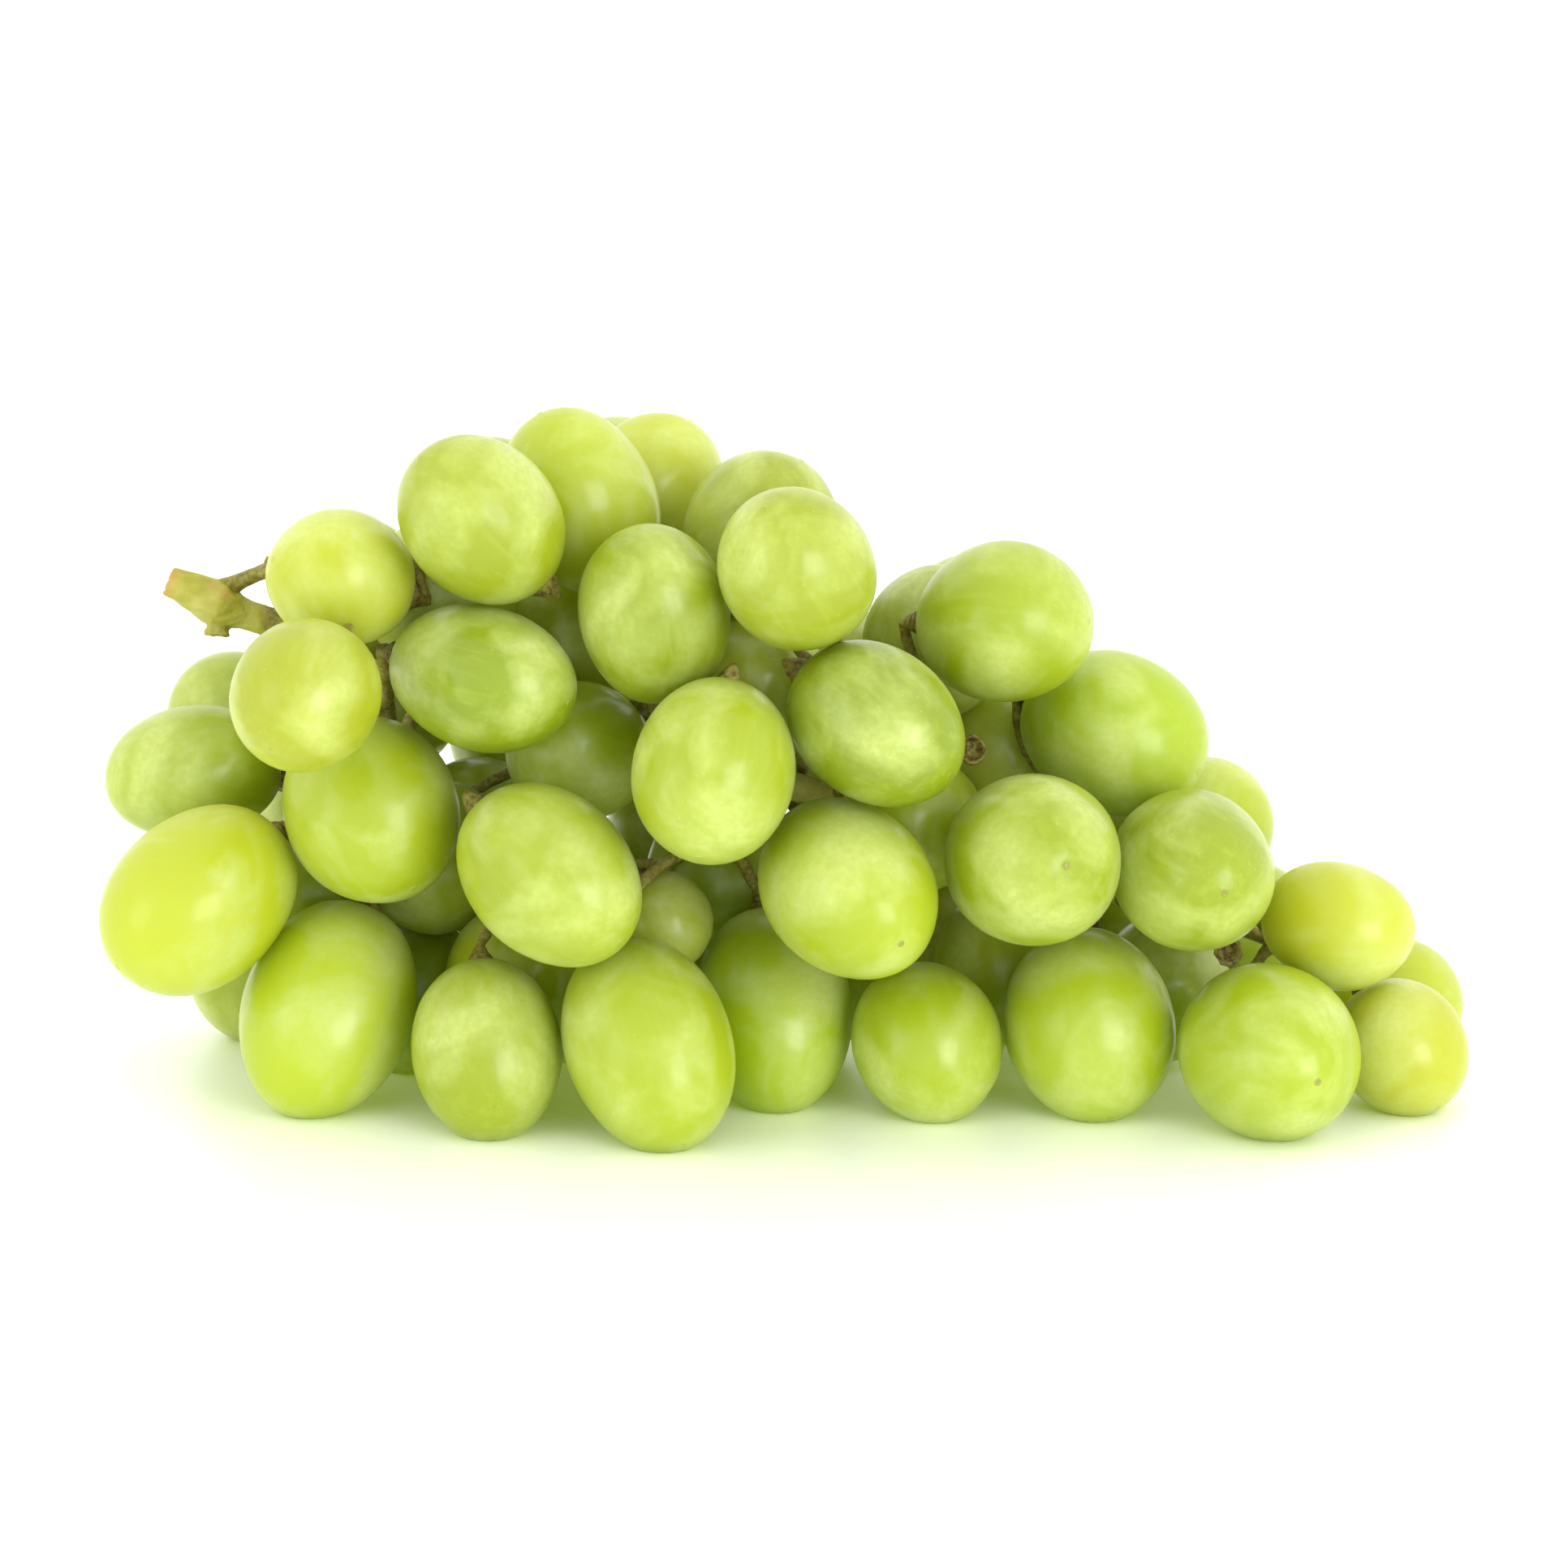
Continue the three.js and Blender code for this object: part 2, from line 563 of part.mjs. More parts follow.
function meshOf(name, solid, material) {
  const { vertProperties, triVerts } = solid.getMesh();
  const geometry = new THREE.BufferGeometry();
  geometry.setAttribute('position', new THREE.BufferAttribute(new Float32Array(vertProperties), 3));
  geometry.setIndex(new THREE.BufferAttribute(new Uint32Array(triVerts), 1));
  geometry.computeVertexNormals();
  const mesh = new THREE.Mesh(geometry, material);
  mesh.name = name;
  return mesh;
}

// The main stalk's line is smooth through its hand-given points, and its radius goes straight from one to the
// next.
const mainCurve = new THREE.CatmullRomCurve3(MAIN_STALK.map(seenPoint), false, 'catmullrom', 0.5);
const mainStalk = mainCurve.getPoints(STEPS_PER_SPAN * (MAIN_STALK.length - 1));
const mainRadii = mainStalk.map((_, i) => {
  const span = Math.min(Math.floor(i / STEPS_PER_SPAN), MAIN_STALK.length - 2);
  return THREE.MathUtils.lerp(MAIN_STALK[span][3], MAIN_STALK[span + 1][3], i / STEPS_PER_SPAN - span);
});

// Where a branch leaves the main stalk: the point, the radius there and the way that the main stalk goes on.
function rootAt(x) {
  const i = mainStalk.findIndex((p) => p.x > x);
  const [before, after] = [mainStalk[i - 1], mainStalk[i]];
  return {
    root: before.clone().lerp(after, (x - before.x) / (after.x - before.x)),
    rootRadius: Math.max(mainRadii[i - 1], mainRadii[i]),
    onward: after.clone().sub(before).normalize(),
  };
}

const sprays = [...FRONT_SPRAYS, ...BACK_SPRAYS].map((spec) => {
  const from = rootAt(spec.leaves);
  const berries = spec.berries ? spec.berries.map((b) => frontBerry(b, from.root)) : backBerries(spec);
  return { name: spec.name, by: spec.by, bare: spec.bare, ...from, berries };
});
const everyBerry = sprays.flatMap((s) => s.berries);
settle(everyBerry, mainStalk);
everyBerry.filter((b) => b.turns).forEach((b) => turnStalkEnd(b, everyBerry, mainStalk));
settle(everyBerry, mainStalk);
const laid = [];
for (const spray of sprays) {
  laySpray(spray, everyBerry, mainStalk, laid);
  laid.push(...spray.stalks);
}

const bunch = new THREE.Group();
const stemBar = barSolid(mainStalk, mainRadii, MAIN_SIDES);
const stubBar = barSolid(TORN_STUB.map(seenPoint), TORN_STUB.map((row) => row[3]), BRANCH_SIDES);
const solids = sprays.map((spray) => {
  const rooms = sprays.filter((other) => other !== spray)
    .flatMap((other) => other.stalks.map((s) => stalkSolid(s, CLEARANCE)));
  return { name: `spray_${spray.name}`, solid: sprayBody(spray, rooms), material: GRAPE_SKIN };
});
solids.push({ name: 'stem', solid: largest(union([stemBar, stubBar])), material: STALK_GREEN });
bunch.add(...solids.map(({ name, solid, material }) => meshOf(name, solid, material)));

const box = new THREE.Box3().setFromObject(bunch);
bunch.position.set(-(box.min.x + box.max.x) / 2, -(box.min.y + box.max.y) / 2, -box.min.z);
bunch.updateMatrixWorld(true);
export default bunch;
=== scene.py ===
"""A bunch of pale green table grapes that lies on its side on a white table.

Places and sizes of the bunch are in millimetres, and a mesh is in metres. X runs along the bunch from its
cut stalk to its tip, -Y is the side that is looked at, and +Z is up.
"""

import functools
import math
from types import SimpleNamespace

import bmesh
import bpy
import numpy as np
from bpy.props import FloatProperty, FloatVectorProperty, IntProperty, PointerProperty
from mathutils import Matrix, Quaternion, Vector, noise


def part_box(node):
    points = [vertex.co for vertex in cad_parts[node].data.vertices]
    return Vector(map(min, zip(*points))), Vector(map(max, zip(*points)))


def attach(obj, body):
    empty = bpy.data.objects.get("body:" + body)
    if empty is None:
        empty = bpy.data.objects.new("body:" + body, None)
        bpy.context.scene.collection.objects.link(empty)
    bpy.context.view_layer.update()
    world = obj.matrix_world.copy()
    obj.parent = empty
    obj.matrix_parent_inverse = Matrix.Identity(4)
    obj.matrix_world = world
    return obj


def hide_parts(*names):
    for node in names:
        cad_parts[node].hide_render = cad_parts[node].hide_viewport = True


bl_info = {
    "name": "Bunch of grapes",
    "version": (1, 0, 0),
    "blender": (4, 5, 0),
    "location": "3D View > Sidebar > Grapes",
    "description": "Models a bunch of green table grapes on a white table",
    "category": "Object",
}

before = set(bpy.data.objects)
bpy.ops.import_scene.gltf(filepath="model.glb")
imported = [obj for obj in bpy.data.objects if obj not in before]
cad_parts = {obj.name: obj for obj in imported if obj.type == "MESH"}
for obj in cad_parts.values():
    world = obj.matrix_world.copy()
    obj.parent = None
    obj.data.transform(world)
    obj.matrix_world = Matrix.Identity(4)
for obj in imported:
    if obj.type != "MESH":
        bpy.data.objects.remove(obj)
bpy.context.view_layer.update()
MM = 0.001

# The eye at the front. Places below are given as it sees them.
EYE_RISE = math.radians(12)
EYE_DISTANCE = 800
LOOKED_AT = Vector((0, 0, 35.6))
SIGHT = Vector((0, math.cos(EYE_RISE), -math.sin(EYE_RISE)))
RIGHT = Vector((1, 0, 0))
RISE = Vector((0, math.sin(EYE_RISE), math.cos(EYE_RISE)))
UP = Vector((0, 0, 1))
VIEW_WIDTH = 193.2  # what the eye takes in at the middle of the bunch
SENSOR_WIDTH = 36

# Berries
INNER_WIDE = 17.6  # a berry that is mostly hidden
BACK_WIDE = 18.8
LONG_PER_WIDE = 1.08
LONGEST_PER_WIDE = 1.35
SIZE_SPREAD = 0.05
USUAL_TOWARD = 25
PRESSED_FLAT = 0.7
CLEARANCE = 0.3
USUAL_SCAR = 0.25

# Stalks, by radius
CUT_RADIUS = 1.7
NECK_RADIUS = 2.2
JOINT_RADIUS = 3.0
AXIS_RADIUS = 1.8
AXIS_END_RADIUS = 1.1
BRANCH_RADIUS = 1.0
PEDICEL_RADIUS = 0.65
CUSHION_LENGTH = 1.6
ROOT_DEPTH = 1.2
MAIN_SIDES = 8
STUB_SIDES = 5
STEPS_PER_SPAN = 3

# The main stalk from the cut to the last branch: [across, up, deep, radius]
MAIN_STALK = [
    [-75.9, 25.1, -3, CUT_RADIUS], [-73.2, 23.9, -3, NECK_RADIUS], [-69.8, 22.3, -2.8, JOINT_RADIUS],
    [-66.4, 20.9, -2.1, AXIS_RADIUS], [-62.5, 19.4, -1.2, AXIS_RADIUS], [-55, 15.5, 1, AXIS_RADIUS],
    [-42, 10, 3, AXIS_RADIUS], [-22, 5, 3, AXIS_RADIUS], [0, 0, 2, AXIS_RADIUS], [20, -6, 0, AXIS_RADIUS],
    [38, -12.5, -2, AXIS_END_RADIUS], [50, -18.5, -5, AXIS_END_RADIUS],
]
# A short torn-off branch that hangs from the neck, from its root to its flared end
TORN_STUB = [[-69.8, 21.6, -3, 1.2], [-69.8, 19.7, -3.2, 1.2], [-69.9, 18.3, -3.4, 1.6]]
# A dry thread of wood that stands up from the branch by the neck
SPUR = [[-64.6, 25.8, -3, 0.7], [-63.9, 26.8, -3, 0.4], [-63.5, 27.9, -3.1, 0.3]]
# Where the main stalk is rusty at its joint, and where a dark ring goes round it
RUSTY = [[-70.2, 24.9, -5], [-67.6, 24.4, -5], [-68.6, 23.6, -5.4]]
DARK_RING = [-63.4, 20.3, -1.7]

# The sprays of the front: name, the X at which the branch leaves the main stalk, and its berries.
# A berry is at: (across, up, deep), size: (wide, long) as seen, free: where its free end points in the view,
# in degrees from the right upwards, and toward: how far it turns to the eye. Without deep it lies on the
# table, and without a size it is an inner one, which shows no end. tone: how far its skin has turned yellow,
# and how much lighter it is than most; both are partly the skin's own colour and partly painted light and
# shade. scar: how dark its dry scar is. by: what the branch passes. bare: a cushion without a berry.
FRONT_SPRAYS = [dict(name="left_shoulder", leaves=-61, berries=[
    dict(tone=(0.5, -0.5), at=(-58.5, 11.0, -33), size=(18.1, 19.0), free=240, toward=40),
    dict(tone=(0.45, 1.6), at=(-71.2, -14.5, -17), size=(20.6, 25.8), free=221),
    dict(tone=(0.1, 0.0), at=(-72.6, 1.6, -4), size=(16.4, 22.0), free=190, toward=0),
    dict(at=(-67.2, 7.4, 11), size=(17.2, 18.4), free=130, toward=-20),
]), dict(name="upper_left", leaves=-68.8, by=[(-66.0, 26.0, -2.9), (-64.0, 26.2, -3)], berries=[
    dict(tone=(0.5, 0.8), at=(-54.4, 25.2, -22), size=(16.8, 18.0), free=165),
    dict(tone=(0.3, -0.6), at=(-36.9, 32.4, -22), size=(18.8, 22.0), free=135),
    dict(at=(-42.1, 23.1, -6)),
]), dict(name="front_left", leaves=-45, berries=[
    dict(tone=(0.2, 0.8), at=(-50.9, -3.2, -19), size=(21.8, 23.6), free=300),
    dict(tone=(0.0, -1.0), at=(-37.0, 13.0, -26), size=(18.0, 24.0), free=344),
    dict(at=(-44.6, -12.4, -3)),
    dict(tone=(0.2, 2.0), at=(-55.8, -27.7), size=(20.8, 27.4), free=250),
]), dict(name="low_far_left", leaves=-50, berries=[
    dict(at=(-64.1, -22.7)),
    dict(at=(-53.6, -15.9, 10)),
]), dict(name="top_left", leaves=-29, berries=[
    dict(tone=(0.3, 0.8), at=(-24.9, 34.7, -6), size=(18.4, 23.4), free=115, toward=10),
    dict(tone=(0.1, -1.1), at=(-16.0, 21.0, -28), size=(18.8, 22.0), free=100),
    dict(at=(-27.6, 18.1, 3)),
    dict(tone=(0.5, 1.0), at=(-16.5, 36.0, 9), size=(17.2, 18.6), free=60, toward=0),
]), dict(name="low_left", leaves=-24, berries=[
    dict(tone=(0.2, 0.0), at=(-28.6, -11.4, -33), size=(20.0, 25.0), free=317),
    dict(tone=(0.2, -0.4), at=(-36.2, -32.2), size=(18.6, 22.2), free=275),
    dict(at=(-36.6, -23.6, -12)),
    dict(at=(-46.1, -26.6)),
]), dict(name="middle", leaves=-8, berries=[
    dict(tone=(0.2, 0.1), at=(-8.6, 1.6, -38), size=(20.0, 23.0), free=260),
    dict(at=(-25.1, 4.1, -10)),
    dict(at=(-3.6, 11.6, -16)),
]), dict(name="low_middle", leaves=0, berries=[
    dict(tone=(0.2, 0.8), at=(-16.8, -32.2), size=(20.5, 26.5), free=290),
    dict(tone=(0.0, 1.8), at=(-1.1, -27.8), size=(19.4, 26.0), free=277),
    dict(at=(-26.4, -25.2)),
    dict(at=(-14.4, -16.9, -16), size=(11.6, 12.4), free=300),
    dict(at=(-7.6, -9.4, -8)),
]), dict(name="top_middle", leaves=7, berries=[
    dict(tone=(0.3, -1.2), at=(-2.8, 31.0, -12), size=(19.0, 20.0), free=60, toward=10),
    dict(tone=(0.3, -0.7), at=(2.0, 25.5, -33), size=(19.4, 20.4), free=120, toward=40),
    dict(tone=(0.0, -1.5), at=(10.7, 8.0, -33), size=(19.2, 23.2), free=325),
]), dict(name="low_right_middle", leaves=15, berries=[
    dict(scar=0.7, tone=(0.2, 0.6), at=(8.0, -12.7, -37), size=(20.6, 23.8), free=314, toward=50),
    dict(tone=(0.1, 0.8), at=(17.5, -31.8), size=(18.4, 20.2), free=290),
    dict(at=(18.0, -21.4, 4)),
]), dict(name="top_right", leaves=23, bare=dict(at=(23.3, 4.2, -14), free=0, toward=80), berries=[
    dict(tone=(0.1, 0.0), at=(27.2, 19.9, -20), size=(20.0, 21.8), free=0),
    dict(tone=(0.2, -1.5), at=(18.4, 17.2, 0)),
    dict(at=(25.9, 0.6, 5)),
]), dict(name="front_right", leaves=32, berries=[
    dict(scar=0.7, tone=(0.1, -0.6), at=(30.4, -9.3, -30), size=(21.0, 21.6), free=352, toward=75),
    dict(at=(15.9, -4.9, -18)),
    dict(tone=(0.1, 1.1), at=(37.6, -29.5), size=(21.0, 24.0), free=282),
    dict(at=(27.4, -22.4, -7)),
]), dict(name="right", leaves=42, berries=[
    dict(tone=(0.0, 1.2), at=(40.5, 6.1, -7), size=(19.8, 23.2), free=335),
    dict(tone=(0.3, 0.5), at=(50.6, -6.4, 2)),
    dict(scar=0.7, tone=(0.1, -0.8), at=(49.9, -10.4, -24), size=(19.4, 20.2), free=320, toward=72),
]), dict(name="tip", leaves=49, bare=dict(at=(54.8, -20.6, -18), free=0, toward=80), berries=[
    dict(scar=0.7, tone=(0.1, 0.7), at=(59.4, -32.9), size=(21.4, 22.6), free=327, toward=66),
    dict(tone=(0.6, 0.9), at=(68.5, -17.8, -26), size=(15.8, 19.0), free=345),
    dict(tone=(0.4, 0.8), at=(75.3, -27.0, -3), size=(16.0, 16.6), free=0, toward=0),
    dict(tone=(0.7, 0.3), at=(76.1, -32.5), size=(16.2, 17.6), free=300),
    dict(at=(48.4, -22.4, -7)),
    dict(at=(57.9, -18.4, 5)),
])]

# The back: each spray is an arc of berries behind the main stalk at x, as tall as the bunch is there.
BACK_SPRAYS = [
    dict(name="back_left_end", leaves=-48, x=-53, height=66, count=4),
    dict(name="back_left", leaves=-33, x=-34, height=76, count=5),
    dict(name="back_left_middle", leaves=-14, x=-15, height=80, count=5),
    dict(name="back_right_middle", leaves=11, x=4, height=58, count=4),
    dict(name="back_right", leaves=27, x=23, height=62, count=3),
    dict(name="back_right_end", leaves=38, x=42, height=46, count=2),
]
BACK_DEPTH_PER_HEIGHT = 0.34
BACK_ARC = math.radians(75)
BACK_STRAY = 3
BACK_LEAN = 0.3

# Settling
ROUNDS = 220
HOLD_IN_VIEW = 0.12
HOLD_IN_DEPTH = 0.01
HOLD_AT_BACK = 0.02
GIVE_IN_VIEW = 0.25
GIVE_ON_TABLE = 0.2
STALK_ROOM = 2.8
CUSHION_ROOM = 1.2

# Turning of the berries whose own way of lying doesn't show
WANTED_AIR = 1.6
AIR_NEAR = 2  # how far past the stalk end the air is felt
AIR_FAR = 4.5
TILTS = [math.radians(turn) for turn in (0, 25, 50, 75)]
TURNS_TRIED = 8

# Ways of the stalks
WAY_POINTS = 9
WAY_ROUNDS = 80
SMOOTHING = 0.3
STALK_GAP = 0.8
STEP_ALONG_STALK = 6
HUB_SHARE = 0.6
NEARBY = 32  # what is further from a way than this never touches it


def seeded(seed):
    """The same small random numbers on every run."""
    state = seed
    while True:
        state = state * 16807 % 2147483647
        yield state / 2147483647


def point_beyond(across, up, beyond):
    """The point seen across and up from the middle of the view, beyond the plane there by so much."""
    scale = (EYE_DISTANCE + beyond) / EYE_DISTANCE
    return LOOKED_AT + RIGHT * (across * scale) + RISE * (up * scale) + SIGHT * beyond


def seen_point(across, up, deep):
    return point_beyond(across, up, (deep - RISE.y * up) / SIGHT.y)


def seen_at_height(across, up, height):
    steepness = SIGHT.z + RISE.z * up / EYE_DISTANCE
    return point_beyond(across, up, (height - LOOKED_AT.z - RISE.z * up) / steepness)


def free_end(spec):
    """The direction of a free end that is seen to point to free, and is turned to the eye by toward."""
    turn, tilt = math.radians(spec["free"]), math.radians(spec.get("toward", USUAL_TOWARD))
    in_view = RIGHT * math.cos(turn) + RISE * math.sin(turn)
    return in_view * math.cos(tilt) - SIGHT * math.sin(tilt)


def true_length(wide, long, toward=USUAL_TOWARD):
    """The true length of a berry that looks shorter because it is turned to the eye."""
    tilt = math.radians(toward)
    return min(math.sqrt((long**2 - (wide * math.sin(tilt))**2) / math.cos(tilt)**2), wide * LONGEST_PER_WIDE)


def front_berry(spec, root, spread):
    at, size = spec["at"], spec.get("size")
    lies = len(at) == 2
    guess = seen_at_height(*at, INNER_WIDE / 2) if lies else seen_point(*at)
    drawn = INNER_WIDE * (1 + spread(SIZE_SPREAD))
    wide, long = drawn, drawn * LONG_PER_WIDE
    if size:
        scale = 1 + (guess - LOOKED_AT).dot(SIGHT) / EYE_DISTANCE
        wide, long = size[0] * scale, true_length(*size, spec.get("toward", USUAL_TOWARD)) * scale
    turns = "free" not in spec
    axis = (guess - root).normalized() if turns else free_end(spec)
    berry = SimpleNamespace(
        axis=axis, half_wide=wide / 2, half_long=long / 2, seen=True, lies=lies, turns=turns,
        tone=spec.get("tone"), scar=spec.get("scar", USUAL_SCAR))
    berry.home = seen_at_height(*at, reach(berry, UP) - PRESSED_FLAT) if lies else guess
    berry.middle = berry.home.copy()
    return berry


def back_berries(spec, spread):
    berries, count, half = [], spec["count"], spec["height"] / 2
    for i in range(count):
        turn = BACK_ARC * (1 - 2 * (i + 0.5) / count)
        half_wide = BACK_WIDE * (1 + spread(SIZE_SPREAD)) / 2
        home = Vector((
            spec["x"] + spread(BACK_STRAY),
            spec["height"] * BACK_DEPTH_PER_HEIGHT * math.cos(turn),
            half + (half - half_wide) * math.sin(turn),
        ))
        axis = Vector((spread(BACK_LEAN), math.cos(turn), math.sin(turn))).normalized()
        berries.append(SimpleNamespace(
            axis=axis, half_wide=half_wide, half_long=half_wide * LONG_PER_WIDE, seen=False,
            lies=i == count - 1, turns=True, home=home, middle=home.copy(), tone=None, scar=USUAL_SCAR,
        ))
    return berries


def reach(berry, direction):
    """How far a berry's bulk reaches along a direction."""
    c = direction.dot(berry.axis)
    return math.sqrt(berry.half_wide**2 * (1 - c * c) + berry.half_long**2 * c * c)


def skin_distance(berry, direction):
    """How far a berry's skin is from its middle in a direction."""
    c = direction.dot(berry.axis)
    return 1 / math.sqrt((1 - c * c) / berry.half_wide**2 + c * c / berry.half_long**2)


def before_stalk_end(berry, gap):
    """The point on a berry's axis that is past its stalk end by gap."""
    return berry.middle - berry.axis * (berry.half_long + gap)


def giving(berry, push):
    """How a berry gives way: one that lies moves along the table, and a seen one rather in depth."""
    if berry.lies:
        return Vector((push.x, push.y, 0)) * (GIVE_ON_TABLE if berry.seen else 1)
    if not berry.seen:
        return push.copy()
    return push * GIVE_IN_VIEW + SIGHT * (push.dot(SIGHT) * (1 - GIVE_IN_VIEW))


def part(a, b, between, lack):
    """Pushes a and b apart by lack along between, each as readily as it gives."""
    give_a, give_b = giving(a, between), giving(b, between)
    share = lack / (give_a.dot(between) + give_b.dot(between))
    a.middle -= give_a * share
    b.middle += give_b * share


def nearest_on(points, place):
    best, closest = points[0], (points[0] - place).length_squared
    for start, end in zip(points, points[1:]):
        along = end - start
        share = (place - start).dot(along) / along.length_squared
        near = start + along * min(max(share, 0), 1)
        if (near - place).length_squared < closest:
            best, closest = near, (near - place).length_squared
    return best


def keep_off_cushion(a, b):
    between = b.middle - before_stalk_end(a, CUSHION_LENGTH)
    apart = between.length
    if apart > b.half_long + CUSHION_ROOM:
        return
    between /= apart
    lack = skin_distance(b, between) + CUSHION_ROOM - apart
    if lack > 0:
        part(a, b, between, lack)


def move_off(berry, away, wanted):
    """Moves a berry along away until away is as long as wanted."""
    apart = away.length
    away = away / apart
    berry.middle += away * max(0, wanted(away) - apart)


def settle_pair(a, b):
    between = b.middle - a.middle
    apart = between.length
    if apart > a.half_long + b.half_long + CLEARANCE + 2 * CUSHION_LENGTH:
        return
    between /= apart
    lack = reach(a, between) + reach(b, between) + CLEARANCE - apart
    if lack > 0:
        part(a, b, between, lack)
    keep_off_cushion(a, b)
    keep_off_cushion(b, a)


def settle(berries, main_stalk):
    """Moves the berries apart from one another, the main stalk and the table, for a set number of rounds."""
    for _ in range(ROUNDS):
        for b in berries:
            back = b.home - b.middle
            b.middle += back * (HOLD_IN_VIEW if b.seen else HOLD_AT_BACK)
            if b.seen and not b.lies:
                b.middle += SIGHT * (back.dot(SIGHT) * (HOLD_IN_DEPTH - HOLD_IN_VIEW))
        for i, a in enumerate(berries):
            for b in berries[i + 1:]:
                settle_pair(a, b)
        for b in berries:
            move_off(b, b.middle - nearest_on(main_stalk, b.middle), lambda away: reach(b, away) + STALK_ROOM)
            cushion = before_stalk_end(b, CUSHION_LENGTH)
            move_off(b, cushion - nearest_on(main_stalk, cushion), lambda away: CUSHION_ROOM + STALK_ROOM)
            lowest = reach(b, UP) - PRESSED_FLAT
            b.middle.z = lowest if b.lies else max(b.middle.z, lowest)


def air_at(point, self, berries, main_stalk):
    """How much air there is round a point: to the nearest other berry, the main stalk and the table."""
    air = min(point.z, (point - nearest_on(main_stalk, point)).length - AXIS_RADIUS)
    for b in berries:
        away = point - b.middle
        apart = away.length
        if b is not self and apart <= b.half_long + WANTED_AIR:
            air = min(air, apart - skin_distance(b, away / apart))
    return air


def turn_stalk_end(berry, berries, main_stalk):
    """Turns a berry that shows no end of its own, so that its stalk end looks into a gap."""
    outward = berry.axis.copy()
    side = outward.cross(RIGHT).normalized()
    best = -math.inf
    for tilt in TILTS:
        for k in range(TURNS_TRIED):
            axis = Quaternion(outward, 2 * math.pi * k / TURNS_TRIED) @ (Quaternion(side, tilt) @ outward)
            worth = math.cos(tilt)
            for gap in (AIR_NEAR, AIR_FAR):
                place = berry.middle - axis * (berry.half_long + gap)
                worth += min(air_at(place, berry, berries, main_stalk), WANTED_AIR)
            if worth > best + 1e-6:
                best, berry.axis = worth, axis


def bent_line(start, via, end, count):
    """Points along a line from start to end that is bent towards via."""
    shares = [k / (count - 1) for k in range(count)]
    return [start * (1 - t)**2 + via * (2 * t * (1 - t)) + end * t**2 for t in shares]


def find_way(start, via, end, radius, berries, laid):
    """A way for a stalk, bent towards via, pushed clear of the berries and of the stalks already laid."""
    way = bent_line(start, via, end, WAY_POINTS)
    berries = [b for b in berries if (nearest_on(way, b.middle) - b.middle).length < NEARBY]
    laid = [s for s in laid if any((nearest_on(way, p) - p).length < NEARBY for p in s.points)]
    for _ in range(WAY_ROUNDS):
        for i in range(1, WAY_POINTS - 1):
            p = way[i].lerp((way[i - 1] + way[i + 1]) * 0.5, SMOOTHING)
            for b in berries:
                away = p - b.middle
                apart = away.length
                if apart > b.half_long + radius + CLEARANCE:
                    continue
                away /= apart
                p += away * max(0, skin_distance(b, away) + radius + CLEARANCE - apart)
            for stalk in laid:
                away = p - nearest_on(stalk.points, p)
                apart = away.length
                p += away * (max(0, stalk.radius + radius + STALK_GAP - apart) / apart)
            p.z = max(p.z, radius + CLEARANCE)
            way[i] = p
    return way


def lengths_along(line):
    """How far along a line each of its points is."""
    gone = [0.0]
    for before, after in zip(line, line[1:]):
        gone.append(gone[-1] + (after - before).length)
    return gone


def evenly(line):
    """Points at equal steps along a line."""
    gone = lengths_along(line)
    steps = max(2, round(gone[-1] / STEP_ALONG_STALK))
    points = []
    for k in range(steps + 1):
        wanted = gone[-1] * k / steps
        i = next((n for n, length in enumerate(gone) if length >= wanted - 1e-5 and n > 0), len(gone) - 1)
        points.append(line[i - 1].lerp(line[i], (wanted - gone[i - 1]) / (gone[i] - gone[i - 1])))
    return points


def lay_spray(spray, berries, main_stalk, laid):
    """Lays a spray's stalks: its branch to the furthest berry, and each other pedicel from the nearest."""
    others = [*laid, SimpleNamespace(points=main_stalk, radius=AXIS_RADIUS)]
    goals = [SimpleNamespace(
        last=before_stalk_end(b, CUSHION_LENGTH + PEDICEL_RADIUS + CLEARANCE),
        cushion=[before_stalk_end(b, gap) for gap in (CUSHION_LENGTH, -ROOT_DEPTH / 2, -ROOT_DEPTH)],
        bare=False,
    ) for b in spray.berries]
    if spray.bare:
        tip, face = seen_point(*spray.bare["at"]), free_end(spray.bare)
        goals.append(SimpleNamespace(
            last=tip - face * (2 * CUSHION_LENGTH), cushion=[tip - face * CUSHION_LENGTH, tip], bare=True))
    goals.sort(key=lambda goal: -(goal.last - spray.root).length)
    by = [seen_point(*place) for place in spray.by]
    middle = sum((goal.last for goal in goals), Vector()) / len(goals)
    out = (by[0] if by else middle) - spray.root
    out = (out - spray.onward * out.dot(spray.onward)).normalized()
    leave = spray.root + out * (spray.root_radius + CLEARANCE)
    clear = leave + out * BRANCH_RADIUS
    spray.stalks = []
    for goal in goals:
        if not spray.stalks:
            radius = BRANCH_RADIUS
            lead = [leave, clear, *by[:-1]] if by else [leave]
            start = by[-1] if by else clear
            via = start.lerp(goal.last, 0.5) if by else spray.root.lerp(middle, HUB_SHARE)
        else:
            radius, lead = PEDICEL_RADIUS, []
            taken = [p for stalk in spray.stalks for p in stalk.free]
            start = min(taken, key=lambda p: (p - goal.last).length)
            via = start.lerp(goal.last, 0.5)
        way = evenly(find_way(start, via, goal.last, radius, berries, others))
        points = [*lead, *way, *goal.cushion]
        first = len(lead) + 1 if not spray.stalks else 1
        spray.stalks.append(SimpleNamespace(
            points=points, radius=radius, ends=len(goal.cushion), bare=goal.bare,
            free=points[first:len(points) - len(goal.cushion) - 1]))


